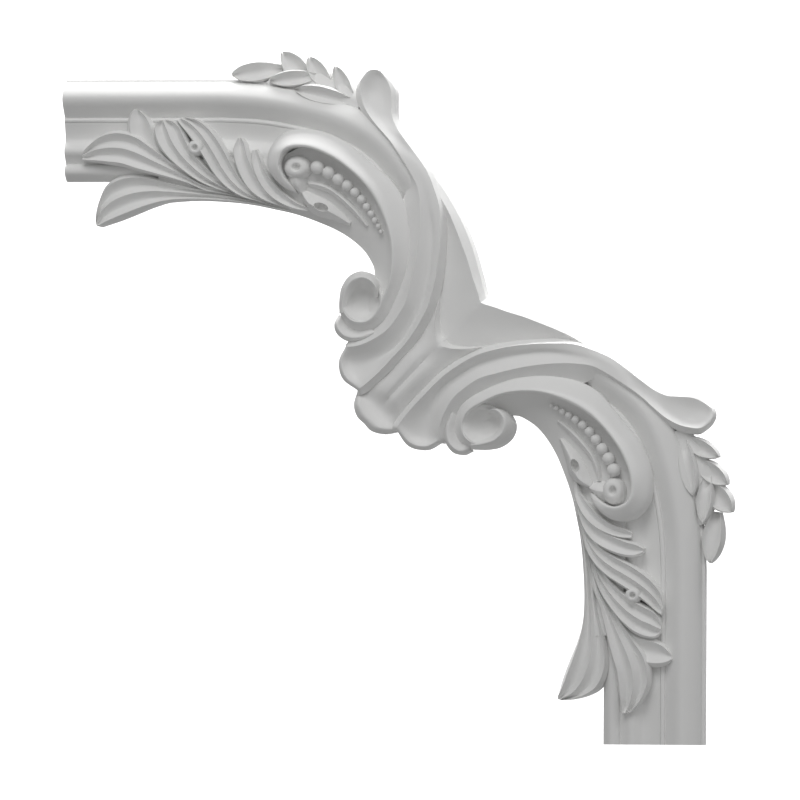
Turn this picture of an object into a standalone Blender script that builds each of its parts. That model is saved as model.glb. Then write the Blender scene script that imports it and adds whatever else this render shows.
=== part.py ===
"""Corner piece for wall-panel moulding, cast in one, with rococo carving.

Metres, Z up.  The back lies flat on the plane Y = 0 and the relief stands
out towards -Y.  The carving is the same on both sides of the plane X = Z, so
one half is made and mirrored, and then each arm gets its own length.  Carving
is laid out in tables of millimetres: across the wall (x), up the wall (z) and
out from the wall (height).
"""
import math

import bmesh
import bpy
import numpy as np
from mathutils import Matrix

MM = 0.001

# Moulding that runs through both arms
LEFT_REACH = 0.181
LOWER_REACH = 0.187
ARM_OUTER = 0.145
# Distance from the outer edge and height of the points of its profile
OUTER_PROFILE = [
    (0, 6.5), (1.3, 6.8), (1.7, 9.4), (2.5, 11.6), (4, 13.4), (6, 15), (8, 16.1), (9.6, 16.5),
    (11.2, 16.2), (13, 15.2), (14.6, 13.9), (19.2, 9.8), (19.5, 10.5), (20.4, 10.9), (21.2, 10.6),
    (21.7, 9.6), (28, 5),
]
INNER_PROFILE = [
    (15.5, 4), (20.8, 8), (21.6, 10.3), (26, 8.6), (28, 8), (30, 7.8), (31.5, 8.4), (33.2, 9.7),
    (34.8, 10.6), (36.2, 10.8), (37.6, 10.3), (39.2, 9), (42.2, 6.6), (43, 8.4), (44.4, 9.5),
    (45.8, 9.8), (47.2, 9.4), (48.8, 7.8), (51, 4.6),
]

# Carving
RELIEF = 1.0
BEAD_COUNT = 11
BEAD_LARGE = 0.0068
BEAD_SMALL = 0.0021
BEAD_TOP_LARGE = 0.0195
BEAD_TOP_SMALL = 0.0155
BEAD_CROWDING = 0.38
EYE_PLACE = (-60.9, 100.4)
EYE_WIDTH = 0.0135
EYE_HEIGHT = 0.0195
EYE_HOLE = 0.0042
KNOB_PLACE = (-112.8, 110.4)
KNOB_WIDTH = 0.0062
KNOB_HEIGHT = 0.0195
KNOB_HOLE = 0.0026
DRILL_PLACE = (-48.6, 80.6)
DRILL_LENGTH = 0.0076
DRILL_WIDTH = 0.0042
DRILL_FLOOR = 0.0095
VOLUTE_PLACE = (-28, 33.6)
VOLUTE_WIDTH = 0.0215
VOLUTE_LENGTH = 0.0225
VOLUTE_RIM = 0.0125
VOLUTE_HOLLOW = 0.0062
VOLUTE_TILT = (-0.12, -0.12)

# Fineness: rounds, and how far in mm a straight run may pass a key section
ROUND_STEPS = 10
BEAD_STEPS = 5
SECTION_SLACK = 0.8
PROFILE_SLACK = 0.4

FOOT = 0.004

# Outer edge of the moulding from the straight arm round to the mitre
EDGE_PATH = [
    (-100, 145), (-80, 143.9), (-60, 140.8), (-45, 137), (-30, 131.4), (-20, 126), (-12, 120),
    (-5.3, 113.2), (-0.3, 106.8), (5, 100), (10, 93.4), (15, 86), (20, 77.6), (25, 67),
    (28.8, 56.5), (32.3, 44), (34.4, 35), (36.8, 20),
]

# Scroll: outer edge, inner edge and five heights across, from the small
# scroll end, over the top and down to the volute
SCROLL = [
    ((-61.5, 87.5), (-62.8, 90.8), (10, 12, 13, 13, 11)),
    ((-65.5, 89), (-65, 93), (12, 15.5, 17, 17.5, 16)),
    ((-69.5, 91.8), (-67, 95.8), (12.5, 18, 19.5, 20, 18.5)),
    ((-73, 95.5), (-68.3, 98.6), (13, 19, 21, 22, 20.5)),
    ((-75.6, 100), (-68.8, 101.6), (13, 19.5, 21.8, 23, 21.5)),
    ((-76.3, 105), (-68.2, 104.5), (13.5, 19, 22, 23.5, 22.5)),
    ((-75, 110.3), (-66.8, 107.5), (14, 18.6, 22, 24, 23)),
    ((-71, 115.5), (-64.5, 109.4), (14, 18, 21.6, 24.4, 23.5)),
    ((-65.5, 118.8), (-61.5, 110.3), (14.5, 17.6, 21.2, 24.4, 23.8)),
    ((-57.5, 119.7), (-56.5, 110.4), (14.5, 17.4, 21, 24.2, 23.8)),
    ((-49.5, 118.8), (-51, 109.2), (14.5, 17.2, 20.8, 24, 23.6)),
    ((-42, 116), (-46, 107.2), (14.8, 17.2, 20.6, 23.8, 23.4)),
    ((-35, 112), (-40.5, 104.3), (15, 17.2, 20.6, 23.8, 23.2)),
    ((-28, 106), (-34.5, 100.1), (15.2, 17.2, 20.6, 23.6, 23)),
    ((-21, 100.3), (-28.5, 95), (15.4, 17.2, 20.6, 23.6, 23)),
    ((-12.8, 93.2), (-23, 88.8), (15.5, 17, 20.4, 23.4, 22.8)),
    ((-8.2, 86.5), (-19.3, 83), (15.5, 17, 20.2, 23.2, 22.6)),
    ((-5.4, 78.5), (-16.3, 77), (15.5, 16.9, 20, 23, 22.5)),
    ((-3.9, 69), (-13.6, 69.6), (15.5, 16.8, 19.8, 22.8, 22.3)),
    ((-3.4, 60), (-12, 61), (15.3, 16.6, 19.6, 22.4, 21.8)),
    ((-4.5, 50), (-12, 51.5), (15, 16.2, 19, 21.6, 21)),
    ((-7.5, 41), (-13.5, 42.8), (14.5, 15.6, 18, 20.2, 19.6)),
    ((-11.3, 33), (-16.8, 35), (14, 15, 16.8, 18.6, 18)),
    ((-14.4, 27), (-19, 30.6), (13, 14, 15.6, 17.2, 16.6)),
    ((-18.2, 21.8), (-21.8, 26.6), (10.5, 12, 14, 16, 15.4)),
    ((-23, 18.8), (-25.6, 24), (8.5, 10, 12.6, 15, 14.6)),
    ((-29.4, 18), (-30, 23.6), (8.2, 9.6, 12, 14.6, 14.2)),
    ((-35.6, 20.6), (-33.8, 25), (8.4, 9.8, 12, 14.4, 14)),
    ((-39.2, 26), (-36.6, 28.2), (8.6, 10, 12, 14.2, 13.8)),
    ((-40.2, 31), (-37.6, 31.6), (9, 10.4, 12.4, 14.4, 13.8)),
]
SCROLL_ACROSS = (0, 0.14, 0.52, 0.9, 1)

# Inside of the arch: silhouette edge, far edge and four heights across
ARCH = [
    ((-133.5, 83), (-132.5, 99.5), (4.5, 9, 10, 10)),
    ((-115, 84.3), (-112.5, 104.5), (4.5, 9.5, 11, 11)),
    ((-97, 83.5), (-93, 105.5), (4.5, 9.5, 11.5, 11.5)),
    ((-86, 82.2), (-80, 105.5), (4.5, 9.5, 11.5, 12)),
    ((-75, 80), (-68, 107), (4.5, 9.5, 11.8, 12.5)),
    ((-63.5, 77.4), (-57, 111.5), (4.5, 9.5, 12, 12.8)),
    ((-52.5, 73.6), (-44.5, 107.5), (4.5, 9.5, 12, 13)),
    ((-42.5, 69.3), (-31.5, 99), (4.5, 9.2, 11.8, 13.5)),
    ((-35, 64.7), (-20, 86.5), (4.5, 9, 11.8, 15)),
    ((-29, 59.5), (-14.5, 75.5), (4.5, 8.8, 12, 16.5)),
    ((-25.5, 54.5), (-11, 63), (4.5, 8.6, 12.2, 17.5)),
    ((-23.5, 50), (-10, 52), (4.5, 8.5, 12.5, 17.5)),
    ((-23.5, 42), (-10.5, 42), (5, 8, 11, 15)),
    ((-25.5, 33.5), (-14, 34.5), (6, 8, 10, 13)),
    ((-27.5, 27.5), (-17.5, 27), (6, 8, 9.5, 11)),
]
ARCH_ACROSS = (0, 0.3, 0.62, 1)

# Plate behind the carving: inner edge and outer edge
PLATE = [
    ((-136, 87.5, 5), (-136.5, 140.5, 5)), ((-97, 86.5, 5), (-94.5, 140.5, 5)),
    ((-75, 83.5, 5), (-72.5, 138.5, 5)), ((-52, 77, 5), (-48, 132.5, 5)),
    ((-35.5, 68, 5), (-25.5, 122.5, 5)), ((-25.5, 59.5, 5), (-7.5, 108.5, 5)),
    ((-20.5, 51.5, 5), (10, 87.5, 5)), ((-24, 41.5, 5), (22.5, 65.5, 5)),
    ((-34, 31.5, 5), (29.5, 47.5, 5)), ((-36, 18.5, 5), (31.5, 33.5, 5)),
    ((-35, 3.5, 5), (27.5, 21.5, 5)), ((-29, -12.5, 5), (17.5, 7.5, 5)),
    ((-26, -24.5, 5), (3.5, -6.5, 5)),
]

# Flower stem from its dished end down into the fan of the hub, where it
# splits into two ribs with a groove between; each row is a section from left
# to right
FAN = [
    ((-29, 146.4, 8), (-27, 148, 12), (-24.6, 149.2, 12.4), (-21.8, 149.4, 12),
     (-19.6, 148.6, 11), (-17.6, 147, 8)),
    ((-32.2, 141.8, 8.5), (-29.6, 143, 13.6), (-26, 145, 11.4), (-21, 145.6, 9.4),
     (-16.8, 144.4, 9.8), (-14.8, 143.4, 8.5)),
    ((-32.4, 137.6, 9.5), (-29.2, 137.8, 14.2), (-25.4, 138.4, 9.6), (-20, 138.9, 8.6),
     (-14.6, 139.5, 10.2), (-12.4, 139, 8.5)),
    ((-31, 132, 10.5), (-27.6, 132, 15), (-23.4, 132.2, 11), (-18.4, 132.3, 10),
     (-13.9, 132.4, 11), (-12.2, 132, 9)),
    ((-27.6, 126.3, 12), (-24.4, 126.3, 16), (-20.6, 126.2, 13), (-16.8, 126.2, 12.2),
     (-13.4, 126.2, 12.4), (-11.9, 126, 10)),
    ((-22.4, 120.4, 13), (-19.5, 120.3, 16.8), (-16, 120.1, 15), (-13.4, 120.1, 14.4),
     (-10.8, 120.4, 14), (-9.3, 120.7, 11)),
    ((-16.4, 114, 13.5), (-13.5, 113.7, 17.8), (-10.8, 113.7, 16.4), (-8.6, 113.9, 15.8),
     (-6.4, 114.3, 16), (-4.9, 114.7, 12)),
    ((-11, 106.4, 14), (-8.1, 106, 18.6), (-5.2, 106.1, 18), (-2.8, 106.3, 17.4),
     (-0.4, 106.6, 16.8), (1, 106.9, 12.5)),
    ((-6, 98.7, 14.5), (-3.1, 98.1, 19), (0, 98.1, 18.6), (2.6, 98.3, 18.2),
     (5.2, 98.6, 17.4), (6.8, 98.8, 13)),
    ((-5, 91.5, 14), (1, 90, 19.3), (4, 89.8, 18.6), (6.4, 89.9, 18.4),
     (8.9, 90, 17.8), (10.7, 90.2, 13)),
    ((-8.2, 81.2, 13.4), (2.4, 80, 19.7), (6, 79.7, 17.9), (8.6, 79.7, 18.4),
     (12, 80, 18.4), (14.2, 80.4, 13)),
    ((-7, 70.4, 13.3), (2.3, 70, 19.8), (7.6, 69.4, 16.6), (9.8, 69.4, 18),
     (12.3, 69.8, 18.8), (15, 70.2, 12.5)),
    ((-6.6, 60.2, 13.2), (1.3, 60, 19.8), (7.5, 59.2, 16.2), (9.6, 59.2, 17.8),
     (12, 59.6, 19), (14.6, 60, 12.5)),
    ((-7.6, 50.8, 13), (-0.5, 50, 19.6), (6.3, 49, 15.6), (8.6, 49, 17.6),
     (11, 49.6, 19), (13.8, 50, 12.5)),
    ((-10.2, 43, 12.8), (-2.7, 41, 19.2), (4.6, 40, 14.8), (6.9, 40.2, 17.2),
     (9.3, 40.8, 18.9), (12.5, 41.2, 12.5)),
    ((-13, 36.4, 12.4), (-4.9, 33, 18.6), (1.6, 30.8, 13.8), (4.2, 31.2, 16.4),
     (6.6, 31.6, 18.4), (9.8, 31.2, 12)),
    ((-16.6, 29.4, 11.2), (-9.2, 25.8, 17.6), (-3, 22, 12.4), (-0.6, 22, 15.4),
     (1.7, 22.2, 17.6), (5, 21.4, 11.6)),
    ((-20.4, 23.8, 9.4), (-15.2, 18.8, 16.4), (-9, 13.2, 10.8), (-6.8, 13, 13.8),
     (-4.6, 13.2, 16.4), (-1.6, 11.6, 11)),
    ((-26, 17.8, 8.4), (-23.4, 13.8, 14.8), (-17.6, 7.4, 9), (-15, 6, 11.8),
     (-12.4, 5, 15), (-9.6, 2.8, 10)),
    ((-31.8, 15.2, 8), (-30, 11.4, 13.2), (-26.6, 5, 7.4), (-24, 1, 8.8),
     (-19.6, -2.2, 13.6), (-17.6, -4.6, 9)),
    ((-35.6, 14, 7.4), (-34.4, 10.9, 12), (-35.6, 4.4, 7), (-33.4, -1.6, 7.4),
     (-26.4, -8, 12.4), (-25, -10.8, 8)),
    ((-36.8, 12.6, 7), (-36, 11, 11.4), (-38.8, 4, 10.6), (-37, -3.4, 10.6),
     (-29.6, -10.2, 11.6), (-28.6, -12.8, 9)),
    ((-37.4, 12.4, 6), (-37, 11, 9), (-40.6, 3.6, 8), (-38.8, -4.8, 8),
     (-30.8, -10.9, 9), (-31.6, -13.4, 7)),
]

# Smooth rim between the ribs and the outer edge, up to the mitre
RIM = [
    ((-8, 101, 9), (-6, 102, 11), (-4, 103, 13), (-2, 104.5, 14), (0.5, 106, 8)),
    ((-1, 91, 9), (1, 92.5, 11), (3, 94, 13.4), (5, 95.6, 14.8), (7.2, 97.2, 8)),
    ((6, 83.5, 9), (8, 84.5, 11.5), (9.3, 85.4, 13.6), (11, 86.6, 15), (13.5, 88.4, 8)),
    ((10.8, 76, 9), (12.8, 76.8, 12), (14, 77.5, 13.6), (15.8, 78.5, 15.4), (18.6, 80, 8)),
    ((12, 69, 9), (14.6, 69.4, 12), (17, 70, 13.8), (19.4, 70.6, 15.6), (22.8, 72, 8)),
    ((11.6, 60, 9), (14.4, 60.4, 11.6), (18.6, 61, 13.6), (22.8, 62, 15.6), (26.6, 63, 8)),
    ((11, 51, 9), (13.8, 51.4, 11.2), (20, 53, 13.4), (25.8, 54, 15.6), (29.4, 54.5, 8)),
    ((9.6, 42, 8.5), (12.4, 42.4, 10.8), (20.6, 44.5, 13.2), (28.4, 45.5, 15.6), (31.9, 45.5, 8)),
    ((8.8, 34, 8), (11.6, 34, 10.6), (21.6, 36.6, 13), (31, 38, 15.6), (34, 37.5, 8)),
    ((9.4, 25, 8), (11.8, 25, 10.5), (22, 28, 12.8), (32.6, 31, 15.6), (36.4, 31, 8)),
    ((10, 16, 8), (12.4, 16, 10.5), (22, 20, 12.4), (33, 24, 15), (37.5, 24, 8)),
    ((11.5, 9, 8), (13, 9, 10.5), (22, 12, 12.4), (33, 16, 15), (38, 16, 8)),
]

# Middle of the hub: crease, low ridge and the crease on the mirror plane
MIDDLE = [
    ((9.2, 38.5, 7), (11.2, 38.5, 10.4), (11.5, 38.4, 10.6), (11.8, 38.3, 10.6), (12.2, 38.3, 8)),
    ((7.4, 33, 7), (10, 33, 11), (10.4, 32.9, 12.4), (10.8, 32.9, 12.8), (12, 33, 8)),
    ((3.4, 25.6, 7), (6.4, 25.5, 11), (8, 25.4, 13), (9.6, 25.3, 15), (11.6, 25.4, 8)),
    ((-0.8, 18, 6.8), (2, 18, 10.6), (5.8, 18, 13.4), (9.8, 17.8, 16), (12.6, 18, 8)),
    ((-5, 11.8, 6.4), (-2.4, 12.2, 10), (3.6, 12.6, 13.8), (10.6, 12.4, 16.6), (14, 12, 15.6)),
    ((-11.2, 3.6, 6), (-9.4, 4.6, 9.6), (-0.5, 5, 15), (5, 4, 13.2), (7, -1.5, 15.5)),
    ((-18, -3, 5.5), (-16, -3, 8.6), (-8.2, -4.4, 13.8), (-5.5, -6, 11.2), (-3.3, -9, 13.6)),
    ((-24.4, -8.4, 5), (-22.8, -8.2, 7.4), (-15.8, -12, 11.6), (-15, -15, 9), (-11.8, -16, 11.4)),
    ((-28.4, -11.4, 5), (-27.2, -13.6, 6.6), (-22.6, -17.2, 6.6), (-20.4, -20, 6.4), (-17.6, -22.2, 6.6)),
    ((-30.2, -11.4, 5.4), (-30, -17.4, 11.4), (-27.9, -22, 11.4), (-24.9, -25.2, 11.4), (-21.7, -28.3, 11.4)),
    ((-31.6, -11.3, 5), (-32.7, -18.2, 8.6), (-31, -24, 8.6), (-27.5, -27.4, 8.6), (-24, -30.8, 8.6)),
]

# First lobe: a thin crescent under the volute
FIRST_LOBE = [
    ((-22.5, 15.5, 9), (-22, 18, 12.4), (-24, 20.5, 10), (-26, 23.5, 8)),
    ((-30.5, 13.5, 9), (-30, 15.5, 12.4), (-31, 18.5, 9.6), (-31, 22.5, 8)),
    ((-37, 14, 8.6), (-36.5, 16.2, 12.2), (-35.5, 20, 9.4), (-33, 23.5, 8)),
    ((-42, 18, 8.4), (-40.3, 19.8, 11.8), (-38, 22, 9.4), (-34.5, 25, 8)),
    ((-43, 22.5, 8), (-41.2, 22.8, 11), (-38.5, 24.5, 9.4), (-35.5, 26.5, 8)),
    ((-41, 27, 7), (-39.8, 26.2, 9), (-38, 26.5, 9), (-35.5, 28.5, 8)),
]

# Roll round the top of the volute dish
VOLUTE_ROLL = [
    ((-40.3, 27.6, 9), (-38.4, 27.6, 13.6), (-36.8, 28.2, 13.4)),
    ((-40.4, 34, 9), (-37.6, 34, 15.4), (-35.4, 34, 13)),
    ((-39, 41, 9.5), (-35.8, 39.8, 16.6), (-33.6, 38.4, 13)),
    ((-34.8, 46.6, 10), (-32, 44, 17.4), (-30.6, 41.6, 13)),
    ((-28.8, 48.7, 10.5), (-27, 45.4, 17.8), (-26.8, 42.4, 13.2)),
    ((-23.4, 46.8, 11), (-22.8, 43.6, 17.6), (-24.2, 41.2, 13)),
    ((-20, 42.2, 11), (-20.4, 40.2, 16.4), (-22.6, 38.8, 12.6)),
    ((-20.4, 36, 10), (-20.8, 35.6, 13), (-21.8, 35.4, 11.6)),
]

# Leaf with a drilled eye below the beads
TEARDROP = [
    ((-59.6, 89.4, 10), (-59.4, 88.4, 12), (-59.2, 87.4, 9.5)),
    ((-57, 89, 11), (-57.6, 86, 15), (-58.6, 83.6, 9)),
    ((-53.4, 87.4, 11.5), (-54.6, 82.4, 16.6), (-56, 79.4, 8.5)),
    ((-48.8, 85.4, 11.5), (-50.4, 80.4, 16.8), (-51.4, 76.2, 8)),
    ((-44, 82.6, 11.2), (-45.6, 78.8, 15.6), (-46.2, 75, 7.8)),
    ((-39.4, 78.6, 10.4), (-40.6, 76, 13), (-41.4, 73.4, 7.6)),
    ((-34.4, 73.6, 9), (-35, 72.4, 10.4), (-35.4, 71.2, 7)),
]

# Rail under the beads
BEAD_SEAT = [
    ((-56.6, 94.6, 9), (-56, 92.6, 13), (-56.4, 90.4, 9)),
    ((-50, 94.2, 10), (-50.4, 91.6, 14.6), (-51.4, 89.2, 9)),
    ((-43.6, 91.6, 10), (-44.2, 89.2, 14.8), (-45.6, 86.8, 9)),
    ((-36.6, 86.2, 10), (-37.4, 84, 14.6), (-39.2, 82, 9)),
    ((-30.4, 79.8, 10), (-31.4, 78, 13.6), (-33.2, 76.4, 9)),
    ((-25, 72.4, 9), (-26, 71.2, 12), (-27.6, 70.2, 8)),
]

# Web from the scroll eye down to the end of the scroll and the drilled leaf
EYE_STALK = [
    ((-66.5, 99, 12), (-61.6, 99, 17.4), (-56.6, 99, 11.5)),
    ((-66, 92.6, 12), (-61, 92.4, 16.8), (-55.8, 93, 11)),
    ((-61.8, 88.4, 10), (-59.6, 87.8, 13.4), (-57.2, 87.6, 9.5)),
]

# Beads, large to small: place on the wall
BEAD_PATH = [
    (-50.6, 100.4), (-44.6, 97.6), (-39.4, 94), (-34.6, 90.6), (-30.8, 87.2), (-27.6, 83.6),
    (-25.1, 80), (-23.1, 76.8), (-21.3, 73.6), (-19.6, 70.6), (-18.4, 68.2),
]

# Acanthus leaves: one edge, other edge, height of the leaf
LEAF_A = [
    ((-66, 81.5), (-66, 78.8), 9), ((-83.5, 85.2), (-83.5, 82.4), 10.5),
    ((-99.3, 88.6), (-99.3, 84), 11.5), ((-114, 90.6), (-115, 84.6), 12),
    ((-127, 93.6), (-127.5, 83.6), 12.5), ((-138, 96.6), (-136.5, 81), 13),
    ((-147, 97.4), (-143, 78.4), 13.2), ((-154, 95.8), (-149.5, 75.8), 13),
    ((-159.6, 92), (-155, 73.8), 12.4), ((-163, 85.5), (-160, 72.2), 11.6),
    ((-164.8, 77.5), (-163, 71.3), 10.8), ((-165, 73.4), (-164.6, 71.6), 9.8),
]
LEAF_B = [
    ((-87.5, 88.5), (-87.5, 85), 10.5), ((-100.2, 91.4), (-99.6, 87.4), 12),
    ((-111, 95), (-109, 89), 13), ((-119.8, 100.2), (-117, 92.4), 14),
    ((-128.5, 106.2), (-126, 94.8), 15.5), ((-135.5, 111.6), (-134.5, 96.8), 16.5),
    ((-142.5, 116.8), (-143, 98.8), 17), ((-150, 119.2), (-150.5, 101.1), 16.8),
    ((-157.5, 118.8), (-158, 102.2), 16.2), ((-164, 115.6), (-164.5, 103.2), 15.4),
    ((-168.8, 111.4), (-169, 103.9), 14.4), ((-171.3, 108.4), (-171.3, 104.6), 13.4),
]
LEAF_C = [
    ((-138, 105.5), (-127, 105.5), 12), ((-143.8, 111.5), (-131.5, 110.8), 14),
    ((-148, 117.8), (-133, 116.8), 15.5), ((-148.3, 123.5), (-134.5, 121.8), 16),
    ((-147, 127.6), (-137.5, 126), 15.8), ((-144.8, 130), (-141.5, 129), 15),
]
LEAF_D = [
    ((-81.5, 84.3), (-77.5, 84), 10.5), ((-93.2, 87), (-87.2, 88.3), 12),
    ((-103, 89.8), (-96.5, 92.6), 13.5), ((-112, 93.6), (-104, 98), 15),
    ((-120, 99), (-110, 104), 16.5), ((-127, 105), (-114.5, 110.4), 17.5),
    ((-132, 111.3), (-117.6, 116.6), 18), ((-134.3, 117.6), (-120, 121), 17.6),
    ((-134, 121.6), (-123.5, 123.6), 17), ((-131.5, 124), (-127.5, 124.6), 16),
]
LEAF_E = [
    ((-73.5, 81.4), (-69.6, 82), 10.5), ((-82.1, 83.7), (-77.2, 85.3), 12.5),
    ((-90.1, 86), (-83.4, 89.2), 14.5), ((-97.4, 90.4), (-89, 94.6), 16),
    ((-103.6, 96.8), (-93.2, 101.4), 17), ((-108.2, 104), (-96.6, 108.2), 18),
    ((-112.6, 111), (-100.6, 114.8), 18.5), ((-117, 117), (-106, 121), 18),
    ((-121, 121.6), (-111.5, 124.6), 17.4), ((-122.6, 124.4), (-117.5, 125.8), 16.4),
]
LEAF_F = [
    ((-65.6, 80), (-61.6, 80.8), 10.5), ((-74.1, 82.3), (-69.1, 84.7), 13),
    ((-81.2, 85.2), (-75.7, 89.2), 15), ((-87, 90.2), (-80, 95.2), 16.5),
    ((-91, 97.2), (-83, 101.4), 17.5), ((-93.4, 104.4), (-85.4, 107.4), 17.8),
    ((-93.8, 110.6), (-87, 112.2), 17), ((-91.6, 115), (-89.4, 115.4), 15.6),
]
LEAF_G = [
    ((-57.6, 78.8), (-54.6, 80.2), 10), ((-65.1, 80.3), (-61.7, 83.3), 13),
    ((-72.7, 83.8), (-67.7, 88.2), 15), ((-78.6, 89.4), (-72.6, 93.2), 16.5),
    ((-82.5, 96.4), (-76.8, 99.4), 17), ((-84.6, 103.4), (-79, 105), 16.6),
    ((-84.4, 109), (-81.4, 109.6), 15.4),
]
LEAVES = [LEAF_A, LEAF_B, LEAF_C, LEAF_D, LEAF_E, LEAF_F, LEAF_G]
# Across a leaf: share of its width and drop below its crest height
LEAF_ACROSS = (0, 0.1, 0.5, 0.9, 1)
LEAF_DROP = (3.5, 0.3, 2.6, 0.6, 4.5)

# Laurel on the outer edge: base, tip, width and height of each leaf
LAUREL = [
    ((-71, 150.5), (-96.5, 147.4), 11, 10), ((-56.4, 144.6), (-70.9, 158.9), 12, 9.5),
    ((-46, 140.2), (-57.1, 156.2), 10.5, 10), ((-34.8, 133.6), (-43.5, 151.6), 9, 10.5),
    ((-53, 146.5), (-76.4, 144.2), 8.8, 12.8), ((-35.5, 134), (-63, 139.9), 9.5, 15),
]
LAUREL_ACROSS = (0, 0.1, 0.55, 0.92, 1)
LAUREL_STALK = [
    ((-78.5, 140.5, 8), (-77.5, 143.5, 8.6), (-76.5, 146.5, 7)),
    ((-60, 138, 9), (-58.5, 143.5, 9), (-58, 149, 6.5)),
    ((-44, 132.5, 9.5), (-42, 139.5, 9), (-41.5, 144.5, 6.5)),
    ((-32.5, 125.5, 10), (-30.5, 132.5, 9.5), (-30.5, 136.5, 7)),
]


def spline(keys, steps):
    """Points along a smooth curve through the keys, `steps` to a span."""
    keys = np.asarray(keys, dtype=float)
    last = len(keys) - 1
    out = [keys[0]]
    for i in range(last):
        start, end = keys[i], keys[i + 1]
        before = keys[i - 1] if i > 0 else 2 * start - end
        after = keys[i + 2] if i + 1 < last else 2 * end - start
        gap = math.sqrt(max(np.linalg.norm(end - start), 1e-6))
        gap_before = math.sqrt(max(np.linalg.norm(start - before), 1e-6))
        gap_after = math.sqrt(max(np.linalg.norm(after - end), 1e-6))
        run = (end - start) / gap
        pull_start = (start - before) / gap_before - (end - before) / (gap_before + gap) + run
        pull_end = run - (after - start) / (gap + gap_after) + (after - end) / gap_after
        for k in range(1, steps + 1):
            t = k / steps
            out.append(
                (2 * t**3 - 3 * t**2 + 1) * start
                + (t**3 - 2 * t**2 + t) * gap * pull_start
                + (3 * t**2 - 2 * t**3) * end
                + (t**3 - t**2) * gap * pull_end
            )
    return np.array(out)


def between(table, shares):
    """Sections from rows of two edges and the heights between them."""
    sections = []
    for first, second, heights in table:
        first = np.array(first, dtype=float)
        second = np.array(second, dtype=float)
        sections.append([
            (*(first + (second - first) * share), height)
            for share, height in zip(shares, heights)
        ])
    return sections


def leaf_table(table):
    """Rows of edges and heights for a leaf that fades in at its foot."""
    rows = []
    last = len(table) - 1
    for i, (first, second, height) in enumerate(table):
        fade = min(1.0, 0.35 + 1.6 * i / last) if i < last else 0.4
        rows.append((first, second, [height - drop * fade for drop in LEAF_DROP]))
    return rows


def laurel_table(base, tip, width, height):
    """Rows of edges and heights for a short hollow leaf with a pointed tip."""
    base = np.array(base, dtype=float)
    tip = np.array(tip, dtype=float)
    along = tip - base
    side = np.array([-along[1], along[0]]) / np.linalg.norm(along)
    rows = []
    for share, spread, fall in (
        (0, 0.45, 5), (0.3, 0.9, 0.8), (0.56, 1, 0), (0.8, 0.74, 0.2), (0.93, 0.38, 0.9), (1, 0.06, 2.6),
    ):
        middle = base + along * share
        reach = side * width * spread / 2
        top = height - fall
        rows.append((middle - reach, middle + reach, (top - 3, top, top - 2, top - 0.3, top - 3)))
    return rows


def thinned(sections, slack):
    """Leave out sections that lie within `slack` mm of a straight run."""
    table = np.array(sections, dtype=float)
    kept = [0]
    for end in range(2, len(table)):
        start = kept[-1]
        run = table[end] - table[start]
        length = np.maximum((run**2).sum(axis=-1, keepdims=True), 1e-9)
        for k in range(start + 1, end):
            gap = table[k] - table[start]
            share = np.clip((gap * run).sum(axis=-1, keepdims=True) / length, 0, 1)
            if np.linalg.norm(gap - share * run, axis=-1).max() > slack:
                kept.append(end - 1)
                break
    kept.append(len(table) - 1)
    return table[kept]


def add_mesh(name, mesh, collection):
    """Put a finished bmesh in the scene, its faces turned outwards."""
    bmesh.ops.triangulate(mesh, faces=mesh.faces)
    bmesh.ops.recalc_face_normals(mesh, faces=mesh.faces)
    if mesh.calc_volume(signed=True) < 0:
        bmesh.ops.reverse_faces(mesh, faces=mesh.faces)
    data = bpy.data.meshes.new(name)
    mesh.to_mesh(data)
    mesh.free()
    item = bpy.data.objects.new(name, data)
    collection.objects.link(item)
    return item


def relief(name, grid, foot, collection):
    """Closed solid under a grid of points, sides straight down behind the wall."""
    count, width = grid.shape[:2]
    mesh = bmesh.new()
    front = []
    back = []
    for row in grid:
        front.append([mesh.verts.new((x * MM, -h * RELIEF * MM, z * MM)) for x, z, h in row])
        back.append([mesh.verts.new((x * MM, foot, z * MM)) for x, z, h in row])
    for i in range(count - 1):
        for j in range(width - 1):
            for sheet in (front, back):
                mesh.faces.new((sheet[i][j], sheet[i + 1][j], sheet[i + 1][j + 1], sheet[i][j + 1]))
        for j in (0, width - 1):
            mesh.faces.new((front[i][j], front[i + 1][j], back[i + 1][j], back[i][j]))
    for j in range(width - 1):
        for i in (0, count - 1):
            mesh.faces.new((front[i][j], front[i][j + 1], back[i][j + 1], back[i][j]))
    return add_mesh(name, mesh, collection)


def turned(name, place, profile, stretch, collection, steps=ROUND_STEPS, lean=0.0, tilt=(0, 0)):
    """Round solid spun from a profile of radius and height about `place`.

    `lean` turns it on the wall, and `tilt` is how much higher it gets for
    each metre across and up the wall.
    """
    mesh = bmesh.new()
    verts = [mesh.verts.new((radius, -height, 0)) for radius, height in profile]
    edges = [mesh.edges.new(pair) for pair in zip(verts, verts[1:])]
    bmesh.ops.spin(
        mesh, geom=verts + edges, cent=(0, 0, 0), axis=(0, 1, 0), dvec=(0, 0, 0),
        angle=2 * math.pi, steps=steps, use_merge=True, use_duplicate=False,
    )
    bmesh.ops.remove_doubles(mesh, verts=mesh.verts, dist=1e-6)
    shape = Matrix.Diagonal((stretch[0], 1, stretch[1], 1))
    where = Matrix.Translation((place[0] * MM, 0, place[1] * MM))
    shear = Matrix(((1, 0, 0, 0), (-tilt[0], 1, -tilt[1], 0), (0, 0, 1, 0), (0, 0, 0, 1)))
    mesh.transform(where @ shear @ Matrix.Rotation(lean, 4, "Y") @ shape)
    return add_mesh(name, mesh, collection)


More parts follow.
